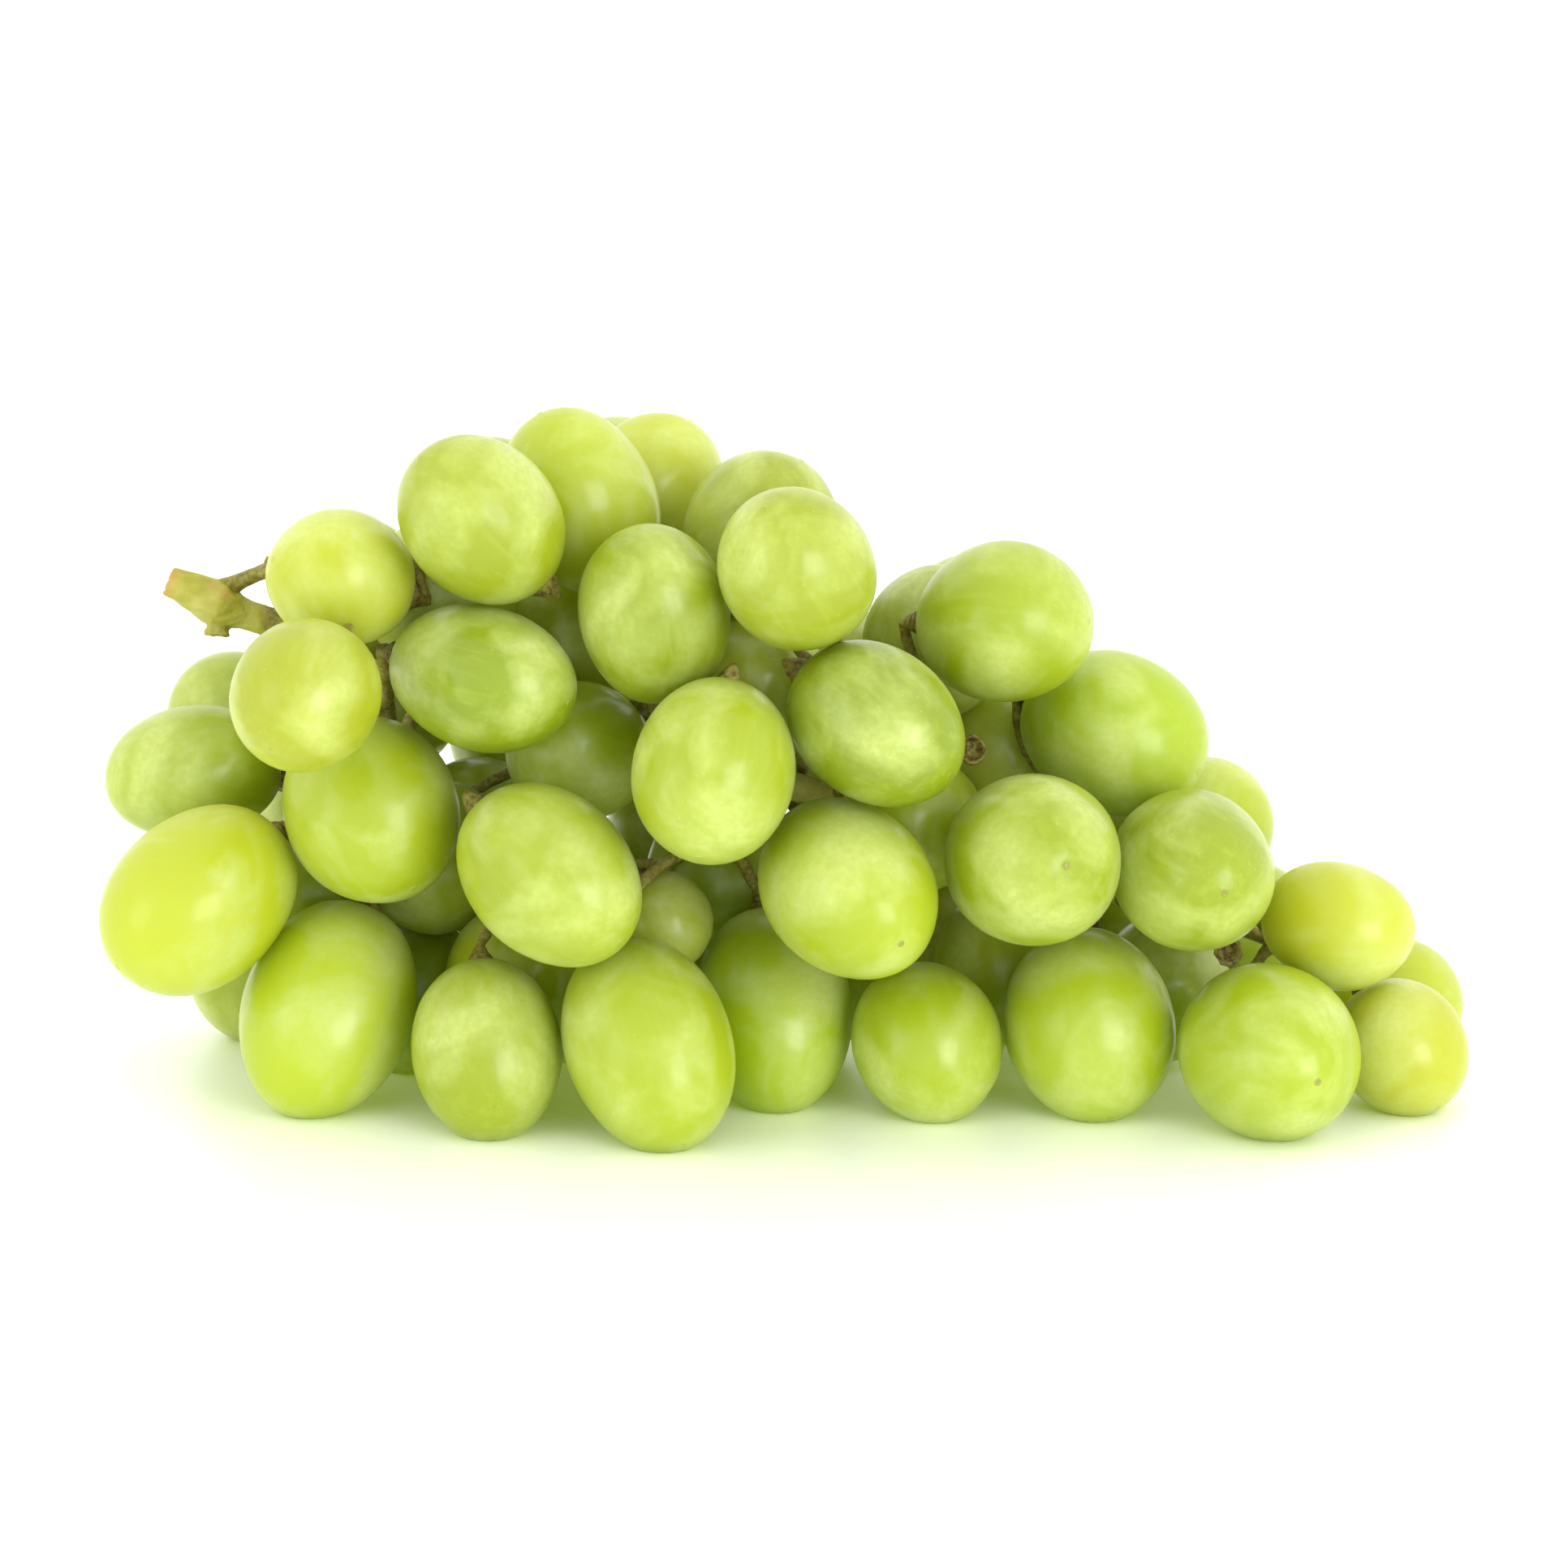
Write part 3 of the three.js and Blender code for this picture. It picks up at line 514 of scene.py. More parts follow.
def smooth_line(points, steps):
    """A smooth line through points, with so many steps from one to the next."""
    line = []
    ends = [2 * points[0] - points[1], *points, 2 * points[-1] - points[-2]]
    for before, start, end, after in zip(ends, ends[1:], ends[2:], ends[3:]):
        out, into = (end - before) / 2, (after - start) / 2
        for k in range(steps):
            t = k / steps
            line.append(start + out * t + (3 * (end - start) - 2 * out - into) * t**2
                        + (2 * (start - end) + out + into) * t**3)
    return [*line, points[-1]]


def between_steps(values, steps):
    """The values that go with smooth_line's points."""
    spans = zip(values, values[1:])
    return [a + (b - a) * k / steps for a, b in spans for k in range(steps)] + [values[-1]]


def root_at(main_stalk, radii, x):
    """Where a branch leaves the main stalk: the point, the radius and the way that the main stalk goes on."""
    i = next(n for n, p in enumerate(main_stalk) if p.x > x)
    before, after = main_stalk[i - 1], main_stalk[i]
    root = before.lerp(after, (x - before.x) / (after.x - before.x))
    return dict(root=root, root_radius=max(radii[i - 1], radii[i]), onward=(after - before).normalized())


def ring_corners(points, radii, sides):
    """The corners of a plain bar with flat sides along points."""
    corners, side = [], None
    for i, p in enumerate(points):
        ahead = (points[min(i + 1, len(points) - 1)] - points[max(i - 1, 0)]).normalized()
        side = side or (UP if abs(ahead.z) < 0.8 else RIGHT)
        side = (side - ahead * side.dot(ahead)).normalized()
        across = ahead.cross(side)
        for k in range(sides):
            turn = 2 * math.pi * k / sides
            corners.append(p + (side * math.cos(turn) + across * math.sin(turn)) * radii[i])
    return corners


@functools.lru_cache
def arranged():
    """The whole bunch: its sprays with settled berries and laid stalks, its main stalk, and its place."""
    draw = seeded(20417)

    def spread(amount):
        return amount * (2 * next(draw) - 1)

    knots = [seen_point(*row[:3]) for row in MAIN_STALK]
    main_stalk = smooth_line(knots, STEPS_PER_SPAN)
    radii = between_steps([row[3] for row in MAIN_STALK], STEPS_PER_SPAN)
    sprays = []
    for spec in FRONT_SPRAYS + BACK_SPRAYS:
        spray = SimpleNamespace(name=spec["name"], by=spec.get("by", []), bare=spec.get("bare"),
                                **root_at(main_stalk, radii, spec["leaves"]))
        if "berries" in spec:
            spray.berries = [front_berry(berry, spray.root, spread) for berry in spec["berries"]]
        else:
            spray.berries = back_berries(spec, spread)
        sprays.append(spray)
    berries = [b for spray in sprays for b in spray.berries]
    settle(berries, main_stalk)
    for b in berries:
        if b.turns:
            turn_stalk_end(b, berries, main_stalk)
    settle(berries, main_stalk)
    laid = []
    for spray in sprays:
        lay_spray(spray, berries, main_stalk, laid)
        laid.extend(spray.stalks)
    stub = [seen_point(*row[:3]) for row in TORN_STUB]
    bar = ring_corners(main_stalk, radii, MAIN_SIDES)
    bar += ring_corners(stub, [row[3] for row in TORN_STUB], STUB_SIDES)
    lowest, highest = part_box("stem")
    middle = Vector([(min(p[i] for p in bar) + max(p[i] for p in bar)) / 2 for i in range(3)])
    place = (lowest + highest) / 2 / MM - middle
    return SimpleNamespace(sprays=sprays, berries=berries, knots=knots, stub=stub, place=place)


def linear(hex_colour):
    """An sRGB hex colour as linear red, green and blue."""
    parts = [int(hex_colour[i:i + 2], 16) / 255 for i in (0, 2, 4)]
    return [c / 12.92 if c <= 0.04045 else ((c + 0.055) / 1.055)**2.4 for c in parts]


def colour_property(name, description, hex_colour):
    return FloatVectorProperty(
        name=name, description=description, default=linear(hex_colour), subtype="COLOR", size=3, min=0, max=1)


def length_property(name, description, default):
    return FloatProperty(
        name=name, description=description, default=default * MM, min=0, unit="LENGTH", precision=5)


def strength_property(name, description, default):
    return FloatProperty(name=name, description=description, default=default, min=0)


def share_property(name, description, default):
    return FloatProperty(name=name, description=description, default=default, min=0, max=1, subtype="FACTOR")


class BerrySettings(bpy.types.PropertyGroup):
    """The look of the berries."""
    dimple: length_property("Dimple", "Depth of the dimple at the stalk end", 0.9)
    scar: length_property("Scar", "Radius of the dry scar at the free end", 0.4)
    uneven: share_property("Unevenness", "How far a berry departs from a smooth oval", 0.035)
    sides: IntProperty(
        name="Sides", description="Faces round a berry before smoothing", default=24, min=12, max=48)
    rings: IntProperty(
        name="Rings", description="Faces along a berry before smoothing", default=14, min=8, max=32)
    green: colour_property("Green", "Skin of a fresh berry", "8ea211")
    ripe: colour_property("Ripe", "Skin of a berry that has turned yellow", "b0af29")
    vein: colour_property("Vein", "Faint streaks under the skin", "a9b946")
    bloom: colour_property("Bloom", "Pale waxy powder on the skin", "bfcb7e")
    dot: colour_property("Dots", "Fine pores of the skin", "b9c366")
    dry: colour_property("Dry", "Dry skin at the scar", "7d7636")


class StalkSettings(bpy.types.PropertyGroup):
    """The look of the stalks."""
    grain: length_property("Grain", "Size of the grain that the main stalk is smoothed to", 0.25)
    ridge: length_property("Ridges", "Height of the ridges along a stalk", 0.25)
    wart: length_property("Warts", "Height of the warts on cushions and joints", 0.3)
    green: colour_property("Green", "Fresh stalk", "a9a531")
    pale: colour_property("Pale", "Young stalk", "c2bd62")
    # The dark brown is partly painted shade, for the branches among the berries.
    brown: colour_property("Brown", "Corky joints and ends", "523719")
    cut: colour_property("Cut", "Cut face of the main stalk", "bd7f3c")


class StageSettings(bpy.types.PropertyGroup):
    """The table and the light."""
    floor: colour_property("Table", "Colour of the table", "fdfdfd")
    # The table glows with this yellow-green everywhere: painted light that stands in for light the berries
    # let through. Where the table is lit it is white past clipping, so the glow shows only in the shadows.
    painted_glow_colour: colour_property("Tint", "Light that the berries let through on to the table", "d8ff00")
    glow: strength_property("Glow", "Strength of the light that the berries let through", 0.13)
    room: strength_property("Room light", "Brightness of the white room", 1.3)
    key: strength_property("Main light", "Power of the soft light at the right", 4.4)
    fill: strength_property("Second light", "Power of the soft light at the left", 1.0)


def start_piece():
    """Deselects everything, so that the operators that follow act on the new piece alone."""
    if bpy.context.object and bpy.context.object.mode != "OBJECT":
        bpy.ops.object.mode_set(mode="OBJECT")
    bpy.ops.object.select_all(action="DESELECT")


def pick(piece, wanted, kind="VERT"):
    """Selects a piece's vertices or faces by their place, in edit mode."""
    bpy.ops.mesh.select_mode(type=kind)
    bpy.ops.mesh.select_all(action="DESELECT")
    shape = bmesh.from_edit_mesh(piece.data)
    for element in shape.verts if kind == "VERT" else shape.faces:
        if wanted(element):
            element.select_set(True)
    shape.select_flush_mode()
    bmesh.update_edit_mesh(piece.data)


def apply_modifier(kind, **settings):
    """Adds a modifier to the piece that is worked on, and applies it."""
    bpy.ops.object.modifier_add(type=kind)
    modifier = bpy.context.object.modifiers[-1]
    for name, value in settings.items():
        setattr(modifier, name, value)
    bpy.ops.object.modifier_apply(modifier=modifier.name)


def read_points(mesh):
    points = np.empty(3 * len(mesh.vertices), np.float32)
    mesh.vertices.foreach_get("co", points)
    return points.reshape(-1, 3).astype(float)


def write_points(mesh, points):
    mesh.vertices.foreach_set("co", points.astype(np.float32).ravel())
    mesh.update()


def store(mesh, name, values, kind="FLOAT_VECTOR"):
    """Keeps a value or three at each vertex, for the material to read."""
    attribute = mesh.attributes.new(name, kind, "POINT")
    key = "vector" if kind == "FLOAT_VECTOR" else "value"
    attribute.data.foreach_set(key, np.asarray(values, np.float32).ravel())


def finish_piece(piece, name, material, slot, *nodes):
    """Names a piece, gives it its material, hangs it under the root body, and hides the CAD nodes that it
    stands for.
    """
    piece.name = piece.data.name = name
    piece.data.materials.clear()
    piece.data.materials.append(material)
    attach(piece, "root")
    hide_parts(*nodes)


MIX_A, MIX_B, MIX_COLOUR = 6, 7, 2  # the colour sockets of a Mix node

# The skin's patterns: pores, bloom and powder in millimetres, the scar's edge in half widths
# A berry's lightness is drawn at random for most, and for the listed front berries is partly painted light
# and shade.
LIGHTER = 0.15  # how much lighter a berry is whose light is 1
VEINS_PER_RADIUS = (7, 7, 0.9)
PORE_GAP = 1.5
BLOOM_PATCH = 11
POWDER_GRAIN = 0.9
SCAR_INSIDE = 0.03
SCAR_OUTSIDE = 0.055

# The stalk's patterns
MOTTLING = 3
WART_GRAIN = 0.6


def add(tree, kind, inputs, out=0, **settings):
    """Adds a node with its settings, and gives one of its outputs. Its inputs are values or outputs."""
    made = tree.nodes.new("ShaderNode" + kind)
    for name, value in settings.items():
        setattr(made, name, value)
    for name, value in inputs.items():
        if isinstance(value, bpy.types.NodeSocket):
            tree.links.new(value, made.inputs[name])
        else:
            made.inputs[name].default_value = value
    return made.outputs[out]


def mix(tree, share, first, second):
    """One colour going over into another by share."""
    inputs = {0: share, MIX_A: first, MIX_B: second}
    return add(tree, "Mix", inputs, out=MIX_COLOUR, data_type="RGBA")


def noise_at(tree, place, size, **inputs):
    """A noise whose grain is size millimetres."""
    return add(tree, "TexNoise", {"Vector": place, "Scale": grain(size), "Detail": 3.0, **inputs})


def spread_out(tree, value, low, high, start=0.0, end=1.0):
    """Stretches the values between low and high to go from start to end."""
    inputs = {"Value": value, "From Min": low, "From Max": high, "To Min": start, "To Max": end}
    return add(tree, "MapRange", inputs)


def new_material(name):
    material = bpy.data.materials.new(name)
    material.use_nodes = True
    material.node_tree.nodes.clear()
    return material, material.node_tree


def grain(size):
    """The scale of a pattern on metres whose grain is size millimetres."""
    return 1 / (size * MM)


def waxy_grape_skin(look):
    """Skin of a green table grape: see-through flesh that glows at its edges, under a patchy pale bloom, with
    faint veins, fine pores and a dry scar at the free end."""
    material, tree = new_material("waxy_grape_skin")
    place = add(tree, "TexCoord", {}, out="Object")
    local = add(tree, "Attribute", {}, out="Vector", attribute_name="on_berry")
    own = add(tree, "Attribute", {}, out="Vector", attribute_name="own")
    # own carries the berry's yellowing and lightness, which for the listed front berries are partly painted
    # light and shade, and how dark its scar is.
    ripe, light, dryness = (add(tree, "SeparateXYZ", {0: own}, out=axis) for axis in "XYZ")
    colour = mix(tree, ripe, (*look.green, 1), (*look.ripe, 1))
    inputs = {"Value": light, "From Min": -1.0, "To Min": 1 - LIGHTER, "To Max": 1 + LIGHTER}
    value = add(tree, "MapRange", inputs, clamp=False)
    colour = add(tree, "HueSaturation", {"Color": colour, "Value": value})

    stretched = add(tree, "VectorMath", {0: local, 1: VEINS_PER_RADIUS}, operation="MULTIPLY")
    veins = add(tree, "TexNoise", {"Vector": stretched, "Scale": 1.0, "Detail": 3.0, "Distortion": 0.6})
    colour = mix(tree, spread_out(tree, veins, 0.48, 0.75, end=0.28), colour, (*look.vein, 1))

    pores = add(tree, "TexVoronoi", {"Vector": place, "Scale": grain(PORE_GAP)}, out="Distance")
    colour = mix(tree, spread_out(tree, pores, 0.05, 0.14, 0.25, 0.0), colour, (*look.dot, 1))

    patches = noise_at(tree, place, BLOOM_PATCH, Roughness=0.5, Distortion=0.6)
    patches = spread_out(tree, patches, 0.42, 0.66, end=0.75)
    powder = spread_out(tree, noise_at(tree, place, POWDER_GRAIN), 0.3, 0.7, start=0.6)
    bloom = add(tree, "Math", {0: patches, 1: powder}, operation="MULTIPLY")
    colour = mix(tree, bloom, colour, (*look.bloom, 1))

    across = add(tree, "VectorMath", {0: local, 1: (1, 1, 0)}, operation="MULTIPLY")
    across = add(tree, "VectorMath", {0: across}, out="Value", operation="LENGTH")
    along = add(tree, "SeparateXYZ", {0: local}, out="Z")
    scar = spread_out(tree, across, SCAR_INSIDE, SCAR_OUTSIDE, 1.0, 0.0)
    front = add(tree, "Math", {0: along, 1: 0.0}, operation="GREATER_THAN")
    front = add(tree, "Math", {0: front, 1: dryness}, operation="MULTIPLY")
    scar = add(tree, "Math", {0: scar, 1: front}, operation="MULTIPLY")
    colour = mix(tree, scar, colour, (*look.dry, 1))

    bump = add(tree, "Bump", {"Strength": 0.15, "Distance": 0.1 * MM, "Height": powder})
    shader = add(tree, "BsdfPrincipled", {
        "Base Color": colour, "Roughness": 0.45, "IOR": 1.42, "Normal": bump,
        "Subsurface Weight": 0.95, "Subsurface Radius": (1.0, 0.95, 0.15), "Subsurface Scale": 20 * MM,
        "Coat Weight": 0.45, "Coat Roughness": 0.2, "Coat IOR": 1.5,
    })
    add_output(tree, shader)
    return material


def add_output(tree, shader):
    out = tree.nodes.new("ShaderNodeOutputMaterial")
    tree.links.new(shader, out.inputs["Surface"])


def fresh_grape_stalk(look):
    """Green wood of a grape stalk: dull and a little fibrous, corky brown at its joints and ends, and browned
    on the branches among the berries partly as dry wood and partly as painted shade.
    """
    material, tree = new_material("fresh_grape_stalk")
    place = add(tree, "TexCoord", {}, out="Object")
    # The brown mask is corky brown, and on the sprigs partly painted shade.
    brown_and_painted_shade, cut = (add(tree, "Attribute", {}, out="Fac", attribute_name=name) for name in ("brown_and_painted_shade", "cut"))
    mottled = spread_out(tree, noise_at(tree, place, MOTTLING), 0.35, 0.65)
    colour = mix(tree, mottled, (*look.green, 1), (*look.pale, 1))
    warts = noise_at(tree, place, WART_GRAIN)
    flecks = spread_out(tree, warts, 0.35, 0.65, 0.6, 1.3)
    brown_and_painted_shade = add(tree, "Math", {0: brown_and_painted_shade, 1: flecks}, operation="MULTIPLY", use_clamp=True)
    colour = mix(tree, brown_and_painted_shade, colour, (*look.brown, 1))
    colour = mix(tree, cut, colour, (*look.cut, 1))
    bump = add(tree, "Bump", {"Strength": 0.5, "Distance": 0.2 * MM, "Height": warts})
    shader = add(tree, "BsdfPrincipled", {
        "Base Color": colour, "Roughness": 0.6, "IOR": 1.45, "Normal": bump,
        "Subsurface Weight": 0.2, "Subsurface Radius": (1.0, 0.8, 0.3), "Subsurface Scale": 1 * MM,
    })
    add_output(tree, shader)
    return material


USUAL_HALF_LONG = 12
USUAL_HALF_WIDE = 10
ALMOST_END = 0.999
DIMPLE_REACH = 0.42
# The rim round the scar: its widths in shares of the scar, and its heights in shares of a half length
RIM_OUTSIDE = 1.5
RIM_SLOPE = 0.5
RIM_WIDTH = 0.4
RIM_FOOT = 0.004
RIM_HEIGHT = 0.012
SCAR_SINK = 0.010


def model_grape(look):
    """One berry of unit half width and half length along Z, with a dimple at its stalk end and a dry scar at
    its free end."""
    start_piece()
    bpy.ops.mesh.primitive_uv_sphere_add(segments=look.sides, ring_count=look.rings, radius=1)
    grape = bpy.context.object
    bpy.ops.object.mode_set(mode="EDIT")
    pick(grape, lambda v: v.co.z < -ALMOST_END)
    bpy.ops.transform.translate(
        value=(0, 0, look.dimple / (USUAL_HALF_LONG * MM)), use_proportional_edit=True,
        proportional_edit_falloff="SMOOTH", proportional_size=DIMPLE_REACH)
    scar = look.scar / (USUAL_HALF_WIDE * MM)
    pick(grape, lambda f: f.calc_center_median().z > math.cos(math.pi / look.rings), "FACE")
    bpy.ops.mesh.inset(thickness=math.sin(math.pi / look.rings) - scar * RIM_OUTSIDE)
    bpy.ops.transform.translate(value=(0, 0, -RIM_FOOT))
    bpy.ops.mesh.inset(thickness=scar * RIM_SLOPE)
    bpy.ops.mesh.extrude_region_move(TRANSFORM_OT_translate={"value": (0, 0, RIM_HEIGHT)})
    bpy.ops.mesh.inset(thickness=scar * RIM_WIDTH)
    bpy.ops.transform.translate(value=(0, 0, -SCAR_SINK))
    bpy.ops.object.mode_set(mode="OBJECT")
    apply_modifier("SUBSURF", levels=1, render_levels=1)
    bpy.ops.object.shade_smooth()
    unit = read_points(grape.data)
    unit /= np.abs(unit[:, 0]).max()
    write_points(grape.data, unit)
    store(grape.data, "on_berry", unit)
    return grape


# Each berry's own draw: how far its number moves it through the noises, and how far it turns it
OWN_STEP = (3.1, 1.7, 0.9)
OWN_TURN = 2.4
BULGES = 0.9  # how many bulges there are to a half width
USUAL_RIPE = 0.2
RIPE_SPREAD = 0.4
RIPE_DRAW = 5.3
LIGHT_SPREAD = 0.5
LIGHT_DRAW = 7.1
WIDEST_GAP = 2  # berries further apart don't press each other flat


def place_grape(grape, berry, number, bunch, look):
    """A copy of the berry at its place, a little uneven, pressed flat by its neighbours and the table."""
    copy = grape.copy()
    copy.data = grape.data.copy()
    bpy.context.collection.objects.link(copy)
    unit = read_points(copy.data)
    own = Vector([number * step for step in OWN_STEP])
    swollen = np.array([1 + look.uneven * noise.noise(Vector(p) * BULGES + own) for p in unit])
    swollen /= swollen.mean()
    half = np.array([berry.half_wide, berry.half_wide, berry.half_long])
    turn = berry.axis.to_track_quat("Z", "Y").to_matrix() @ Matrix.Rotation(number * OWN_TURN, 3, "Z")
    points = (unit * swollen[:, None] * half) @ np.array(turn).T + np.array(berry.middle)
    walls = [(Vector(), -UP)]
    for other in bunch.berries:
        between = other.middle - berry.middle
        apart = between.length
        if other is berry or apart > berry.half_long + other.half_long + WIDEST_GAP:
            continue
        between /= apart
        own_reach = reach(berry, between)
        gap = apart - own_reach - reach(other, between)
        walls.append((berry.middle + between * (own_reach + gap / 2), between))
    for spot, way in walls:
        beyond = (points - np.array(spot)) @ np.array(way)
        points -= np.maximum(beyond, 0)[:, None] * np.array(way)
    write_points(copy.data, (points + np.array(bunch.place)) * MM)
    # Listed yellowing and lightness are partly painted light and shade; the other berries get a random draw.
    ripe, light = berry.tone or (
        USUAL_RIPE + RIPE_SPREAD * noise.noise(own * RIPE_DRAW), LIGHT_SPREAD * noise.noise(own * LIGHT_DRAW))
    store(copy.data, "own", [(ripe, light, berry.scar)] * len(unit))
    return copy


# The flare at a berry, and the one that has lost its berry: how far before the skin, and the radius there
CUSHION_SHAPE = [(2.2, 0.75), (1.5, 1.0), (0.9, 1.4), (0.4, 1.7), (0.0, 1.7), (-0.6, 1.3), (-1.2, 0.9)]
BARE_SHAPE = [
    (2.2, 0.8), (1.5, 1.1), (1.0, 1.6), (0.5, 1.8), (0.1, 1.7), (0.0, 1.3), (-0.05, 0.9), (-0.1, 0.4)]
BARE_RIM = 1.7
BARE_HOLLOW = 1.6
CUT_HOLLOW = 0.4
END_NEAR = 0.3  # how far off an end's face its own points are
# The branches among the berries are browned partly as dry wood and partly as painted shade of the inside of
# the bunch.
DRY_WOOD_AND_PAINTED_SHADE = 0.55  # how brown the branches among the berries are
ARM_RISE = 1.6  # how far above the middle of the joint its upper branch starts
COLLAR = 1.5  # how much fatter a stalk is where it starts
COLLAR_LENGTH = 1.8
SKIPPED = 3  # how many first points of the upper branch the rise stands for
BRANCH_STEPS = 6
MAIN_STEPS = 12
BRANCH_ROUNDNESS = 5
MAIN_ROUNDNESS = 6
RIDGES_PER_MM = (0.15, 1.1, 1.1)
WARTS_PER_MM = 1.4

# How far brown and rust spread from their spots, and how strong they are
CORKY_SPREAD = 2.2
JOINT_SPREAD = 1.8
RING_SPREAD = 1.5
CUT_SPREAD = 1.7
RUST_SPREAD = 0.9
JOINT_BROWN = 0.35
RUST = 0.6


def bars_mesh(lines, sides_step):
    """Round closed bars along lines of points and radii, as one mesh."""
    start_piece()
    bpy.ops.curve.primitive_nurbs_path_add()
    bars = bpy.context.object
    curve = bars.data
    curve.splines.clear()
    curve.dimensions = "3D"
    curve.twist_mode = "MINIMUM"
    curve.bevel_depth = 1
    curve.bevel_resolution = sides_step
    curve.use_fill_caps = True
    for points, radii in lines:
        spline = curve.splines.new("POLY")
        spline.points.add(len(points) - 1)
        for knot, point, radius in zip(spline.points, points, radii):
            knot.co = (*(point * MM), 1)
            knot.radius = radius * MM
    bpy.ops.object.convert(target="MESH")
    bars = bpy.context.object
    bpy.ops.object.mode_set(mode="EDIT")
    bpy.ops.mesh.select_all(action="SELECT")
    bpy.ops.mesh.remove_doubles(threshold=0.001 * MM)
    bpy.ops.mesh.normals_make_consistent(inside=False)
    bpy.ops.object.mode_set(mode="OBJECT")
    bpy.ops.object.shade_smooth()
    return bars


def stalk_line(stalk, spray):
    """A stalk's smooth line and its radii, from inside what carries it to inside its berry."""
    points = stalk.points[:len(stalk.points) - stalk.ends]
    if stalk is spray.stalks[0]:
        points = [spray.root + UP * ARM_RISE, *points[SKIPPED:]] if spray.by else [spray.root, *points]
    line = smooth_line(points, BRANCH_STEPS)
    gone = lengths_along(line)
    radii = []
    for length in gone:
        radius = stalk.radius + (PEDICEL_RADIUS - stalk.radius) * length / gone[-1]
        radii.append(radius * (1 + (COLLAR - 1) * math.exp(-(length / COLLAR_LENGTH)**2)))
    for gap, radius in BARE_SHAPE if stalk.bare else CUSHION_SHAPE:
        line.append(stalk.skin - stalk.way * gap)
        radii.append(radius)
    return line, radii


def hollow(points, tip, way, radius, depth):
    """Hollows the end of a stalk that looks along way."""
    off = points - np.array(tip)
    along = off @ np.array(way)
    across = np.linalg.norm(off - along[:, None] * np.array(way), axis=1)
    inside = (abs(along) < END_NEAR) & (across < radius)
    points -= np.outer(inside * depth * (1 - (across / radius)**2), np.array(way))


def nearness(points, spots, size):
    """How near each point is to one of the spots: 1 within half of size, and 0 past one and a half."""
    near = np.zeros(len(points))
    for spot in spots:
        near = np.maximum(near, np.clip(1.5 - np.linalg.norm(points - np.array(spot), axis=1) / size, 0, 1))
    return near


def weather(mesh, corky, look):
    """Raises ridges along a stalk, which runs about along X, and warts where it is corky."""
    points = read_points(mesh)
    normals = np.empty(points.size, np.float32)
    mesh.vertices.foreach_get("normal", normals)
    ridges = np.array([noise.noise(Vector(p)) for p in points / MM * RIDGES_PER_MM])
    warts = np.array([noise.noise(Vector(p) * WARTS_PER_MM) for p in points / MM])
    height = look.ridge * ridges + look.wart * warts * corky
    write_points(mesh, points + normals.reshape(-1, 3) * height[:, None])


class GRAPES_OT_add_berries(bpy.types.Operator):
    """Models one berry and copies it to every place in every spray"""
    bl_idname = "grapes.add_berries"
    bl_label = "Add berries"

    def execute(self, context):
        look = context.scene.grape_berries
        bunch = arranged()
        skin = waxy_grape_skin(look)
        grape = model_grape(look)
        number = 0
        for spray in bunch.sprays:
            copies = []
            for berry in spray.berries:
                number += 1
                copies.append(place_grape(grape, berry, number, bunch, look))
            start_piece()
            for copy in copies:
                copy.select_set(True)
            context.view_layer.objects.active = copies[0]
            bpy.ops.object.join()
            finish_piece(copies[0], "berries_" + spray.name, skin, "grape_skin", "spray_" + spray.name)
        bpy.data.objects.remove(grape)
        return {"FINISHED"}


class GRAPES_OT_add_sprigs(bpy.types.Operator):
    """Models the branches and pedicels of every spray"""
    bl_idname = "grapes.add_sprigs"
    bl_label = "Add sprigs"

    def execute(self, context):
        look = context.scene.grape_stalks
        bunch = arranged()
        wood = fresh_grape_stalk(look)
        for spray in bunch.sprays:
            for stalk in spray.stalks:
                tip = stalk.points[-1]
                stalk.way = (tip - stalk.points[-2]).normalized()
                stalk.skin = tip if stalk.bare else tip - stalk.way * ROOT_DEPTH
            lines = [stalk_line(stalk, spray) for stalk in spray.stalks]
            if spray.by:
                lines.append(([seen_point(*row[:3]) for row in SPUR], [row[3] for row in SPUR]))
            sprig = bars_mesh(lines, BRANCH_ROUNDNESS)
            mesh = sprig.data
            points = read_points(mesh) / MM
            for stalk in spray.stalks:
                if stalk.bare:
                    hollow(points, stalk.skin, stalk.way, BARE_RIM, BARE_HOLLOW)
            corky = nearness(points, [stalk.skin for stalk in spray.stalks], CORKY_SPREAD)
            write_points(mesh, (points + np.array(bunch.place)) * MM)
            weather(mesh, corky, look)
            # The sprigs are brown at their cushions, and all over at least by a share that is partly dry wood
            # and partly painted shade.
            store(mesh, "brown_and_painted_shade", np.maximum(corky, DRY_WOOD_AND_PAINTED_SHADE), "FLOAT")
            finish_piece(sprig, "sprig_" + spray.name, wood, "stalk", "spray_" + spray.name)
        return {"FINISHED"}


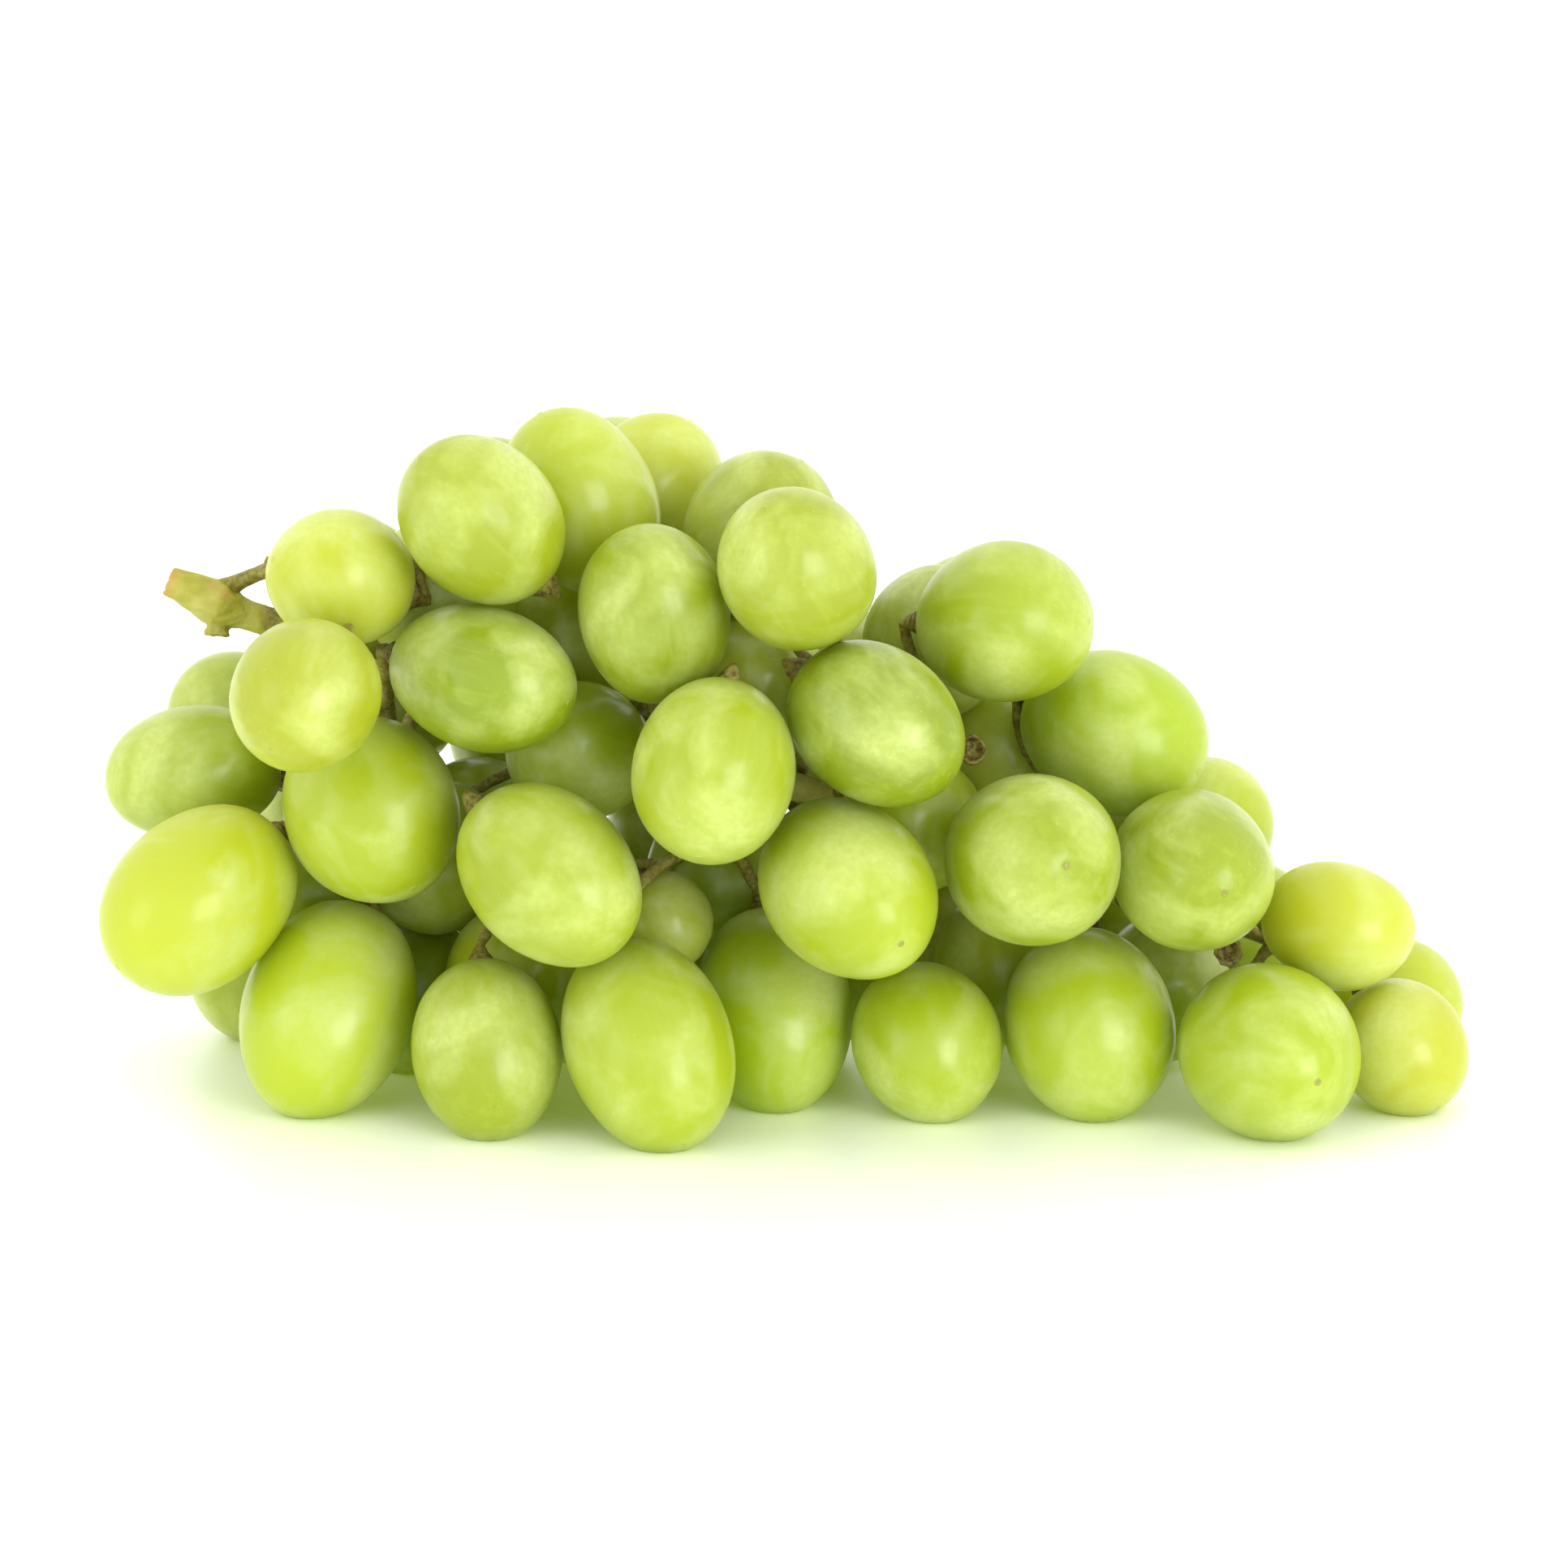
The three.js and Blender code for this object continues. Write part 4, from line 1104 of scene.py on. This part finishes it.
class GRAPES_OT_add_main_stalk(bpy.types.Operator):
    """Models the main stalk with its cut end and a torn-off branch"""
    bl_idname = "grapes.add_main_stalk"
    bl_label = "Add main stalk"

    def execute(self, context):
        look = context.scene.grape_stalks
        bunch = arranged()
        line = [p + bunch.place for p in smooth_line(bunch.knots, MAIN_STEPS)]
        radii = between_steps([row[3] for row in MAIN_STALK], MAIN_STEPS)
        stub = [p + bunch.place for p in smooth_line(bunch.stub, BRANCH_STEPS)]
        stub_radii = between_steps([row[3] for row in TORN_STUB], BRANCH_STEPS)
        stem = bars_mesh([(line, radii), (stub, stub_radii)], MAIN_ROUNDNESS)
        apply_modifier("REMESH", mode="VOXEL", voxel_size=look.grain, use_smooth_shade=True)
        mesh = stem.data
        points = read_points(mesh) / MM
        hollow(points, line[0], (line[0] - line[1]).normalized(), CUT_RADIUS, CUT_HOLLOW)
        write_points(mesh, points * MM)
        joint = nearness(points, [bunch.knots[2] + bunch.place, stub[-1]], JOINT_SPREAD)
        ring = nearness(points, [seen_point(*DARK_RING) + bunch.place], RING_SPREAD)
        weather(mesh, np.maximum(joint, ring), look)
        store(mesh, "brown_and_painted_shade", np.maximum(joint * JOINT_BROWN, ring), "FLOAT")
        rust = nearness(points, [seen_point(*place) + bunch.place for place in RUSTY], RUST_SPREAD)
        store(mesh, "cut", np.maximum(nearness(points, [line[0]], CUT_SPREAD), rust * RUST), "FLOAT")
        finish_piece(stem, "main_stalk", bpy.data.materials["fresh_grape_stalk"], "stalk", "stem")
        return {"FINISHED"}


# The soft lights: degrees to the right, degrees up, wide and tall in metres
KEY = (30, 8, 0.42, 0.55)
FILL = (-50, 12, 0.35, 0.5)
LAMP_DISTANCE = 0.9
TABLE_SIZE = 12
CLIPPING = (0.01, 20)


class GRAPES_OT_set_stage(bpy.types.Operator):
    """Sets the white table, the soft light and the camera"""
    bl_idname = "grapes.set_stage"
    bl_label = "Set the stage"

    def execute(self, context):
        look = context.scene.grape_stage
        target = (LOOKED_AT + arranged().place) * MM
        start_piece()
        bpy.ops.object.camera_add(location=target - SIGHT * EYE_DISTANCE * MM,
                                  rotation=(math.pi / 2 - EYE_RISE, 0, 0))
        camera = context.object
        camera.data.sensor_width = SENSOR_WIDTH
        camera.data.lens = SENSOR_WIDTH * EYE_DISTANCE / VIEW_WIDTH
        camera.data.clip_start, camera.data.clip_end = CLIPPING
        context.scene.camera = camera
        bpy.ops.mesh.primitive_plane_add(size=TABLE_SIZE)
        floor = context.object
        floor.name = "table"
        material, tree = new_material("white_table_with_painted_glow")
        # The table's emission is painted light: a yellow-green glow that shows in the shadows under the
        # berries.
        add_output(tree, add(tree, "BsdfPrincipled", {
            "Base Color": (*look.floor, 1), "Roughness": 0.35, "Emission Color": (*look.painted_glow_colour, 1),
            "Emission Strength": look.glow}))
        floor.data.materials.append(material)
        for lamp, power in ((KEY, look.key), (FILL, look.fill)):
            azimuth, rise, wide, tall = lamp
            away = Vector((math.sin(math.radians(azimuth)) * math.cos(math.radians(rise)),
                           -math.cos(math.radians(azimuth)) * math.cos(math.radians(rise)),
                           math.sin(math.radians(rise))))
            bpy.ops.object.light_add(type="AREA", location=target + away * LAMP_DISTANCE,
                                     rotation=away.to_track_quat("Z", "Y").to_euler())
            light = context.object.data
            light.shape, light.size, light.size_y, light.energy = "RECTANGLE", wide, tall, power
        world = bpy.data.worlds.new("white_room")
        world.use_nodes = True
        world.node_tree.nodes["Background"].inputs["Color"].default_value = (1, 1, 1, 1)
        world.node_tree.nodes["Background"].inputs["Strength"].default_value = look.room
        context.scene.world = world
        context.scene.view_settings.view_transform = "Standard"
        return {"FINISHED"}


class GRAPES_PT_bunch(bpy.types.Panel):
    """Lists the pieces of the bunch with their settings"""
    bl_label = "Bunch of grapes"
    bl_idname = "GRAPES_PT_bunch"
    bl_space_type = "VIEW_3D"
    bl_region_type = "UI"
    bl_category = "Grapes"

    def draw(self, context):
        for key, operators in PIECES.items():
            box = self.layout.box()
            settings = getattr(context.scene, key)
            for name in settings.__annotations__:
                box.prop(settings, name)
            for operator in operators:
                box.operator(operator.bl_idname)


SETTINGS = {"grape_berries": BerrySettings, "grape_stalks": StalkSettings, "grape_stage": StageSettings}
PIECES = {
    "grape_stage": [GRAPES_OT_set_stage],
    "grape_berries": [GRAPES_OT_add_berries],
    "grape_stalks": [GRAPES_OT_add_sprigs, GRAPES_OT_add_main_stalk],
}
CLASSES = [*SETTINGS.values(), *(o for operators in PIECES.values() for o in operators), GRAPES_PT_bunch]


def register():
    for each in CLASSES:
        bpy.utils.register_class(each)
    for key, settings in SETTINGS.items():
        setattr(bpy.types.Scene, key, PointerProperty(type=settings))


def unregister():
    for key in SETTINGS:
        delattr(bpy.types.Scene, key)
    for each in reversed(CLASSES):
        bpy.utils.unregister_class(each)


def main():
    register()
    bpy.ops.grapes.set_stage()
    bpy.ops.grapes.add_berries()
    bpy.ops.grapes.add_sprigs()
    bpy.ops.grapes.add_main_stalk()


if __name__ == "__main__":
    main()
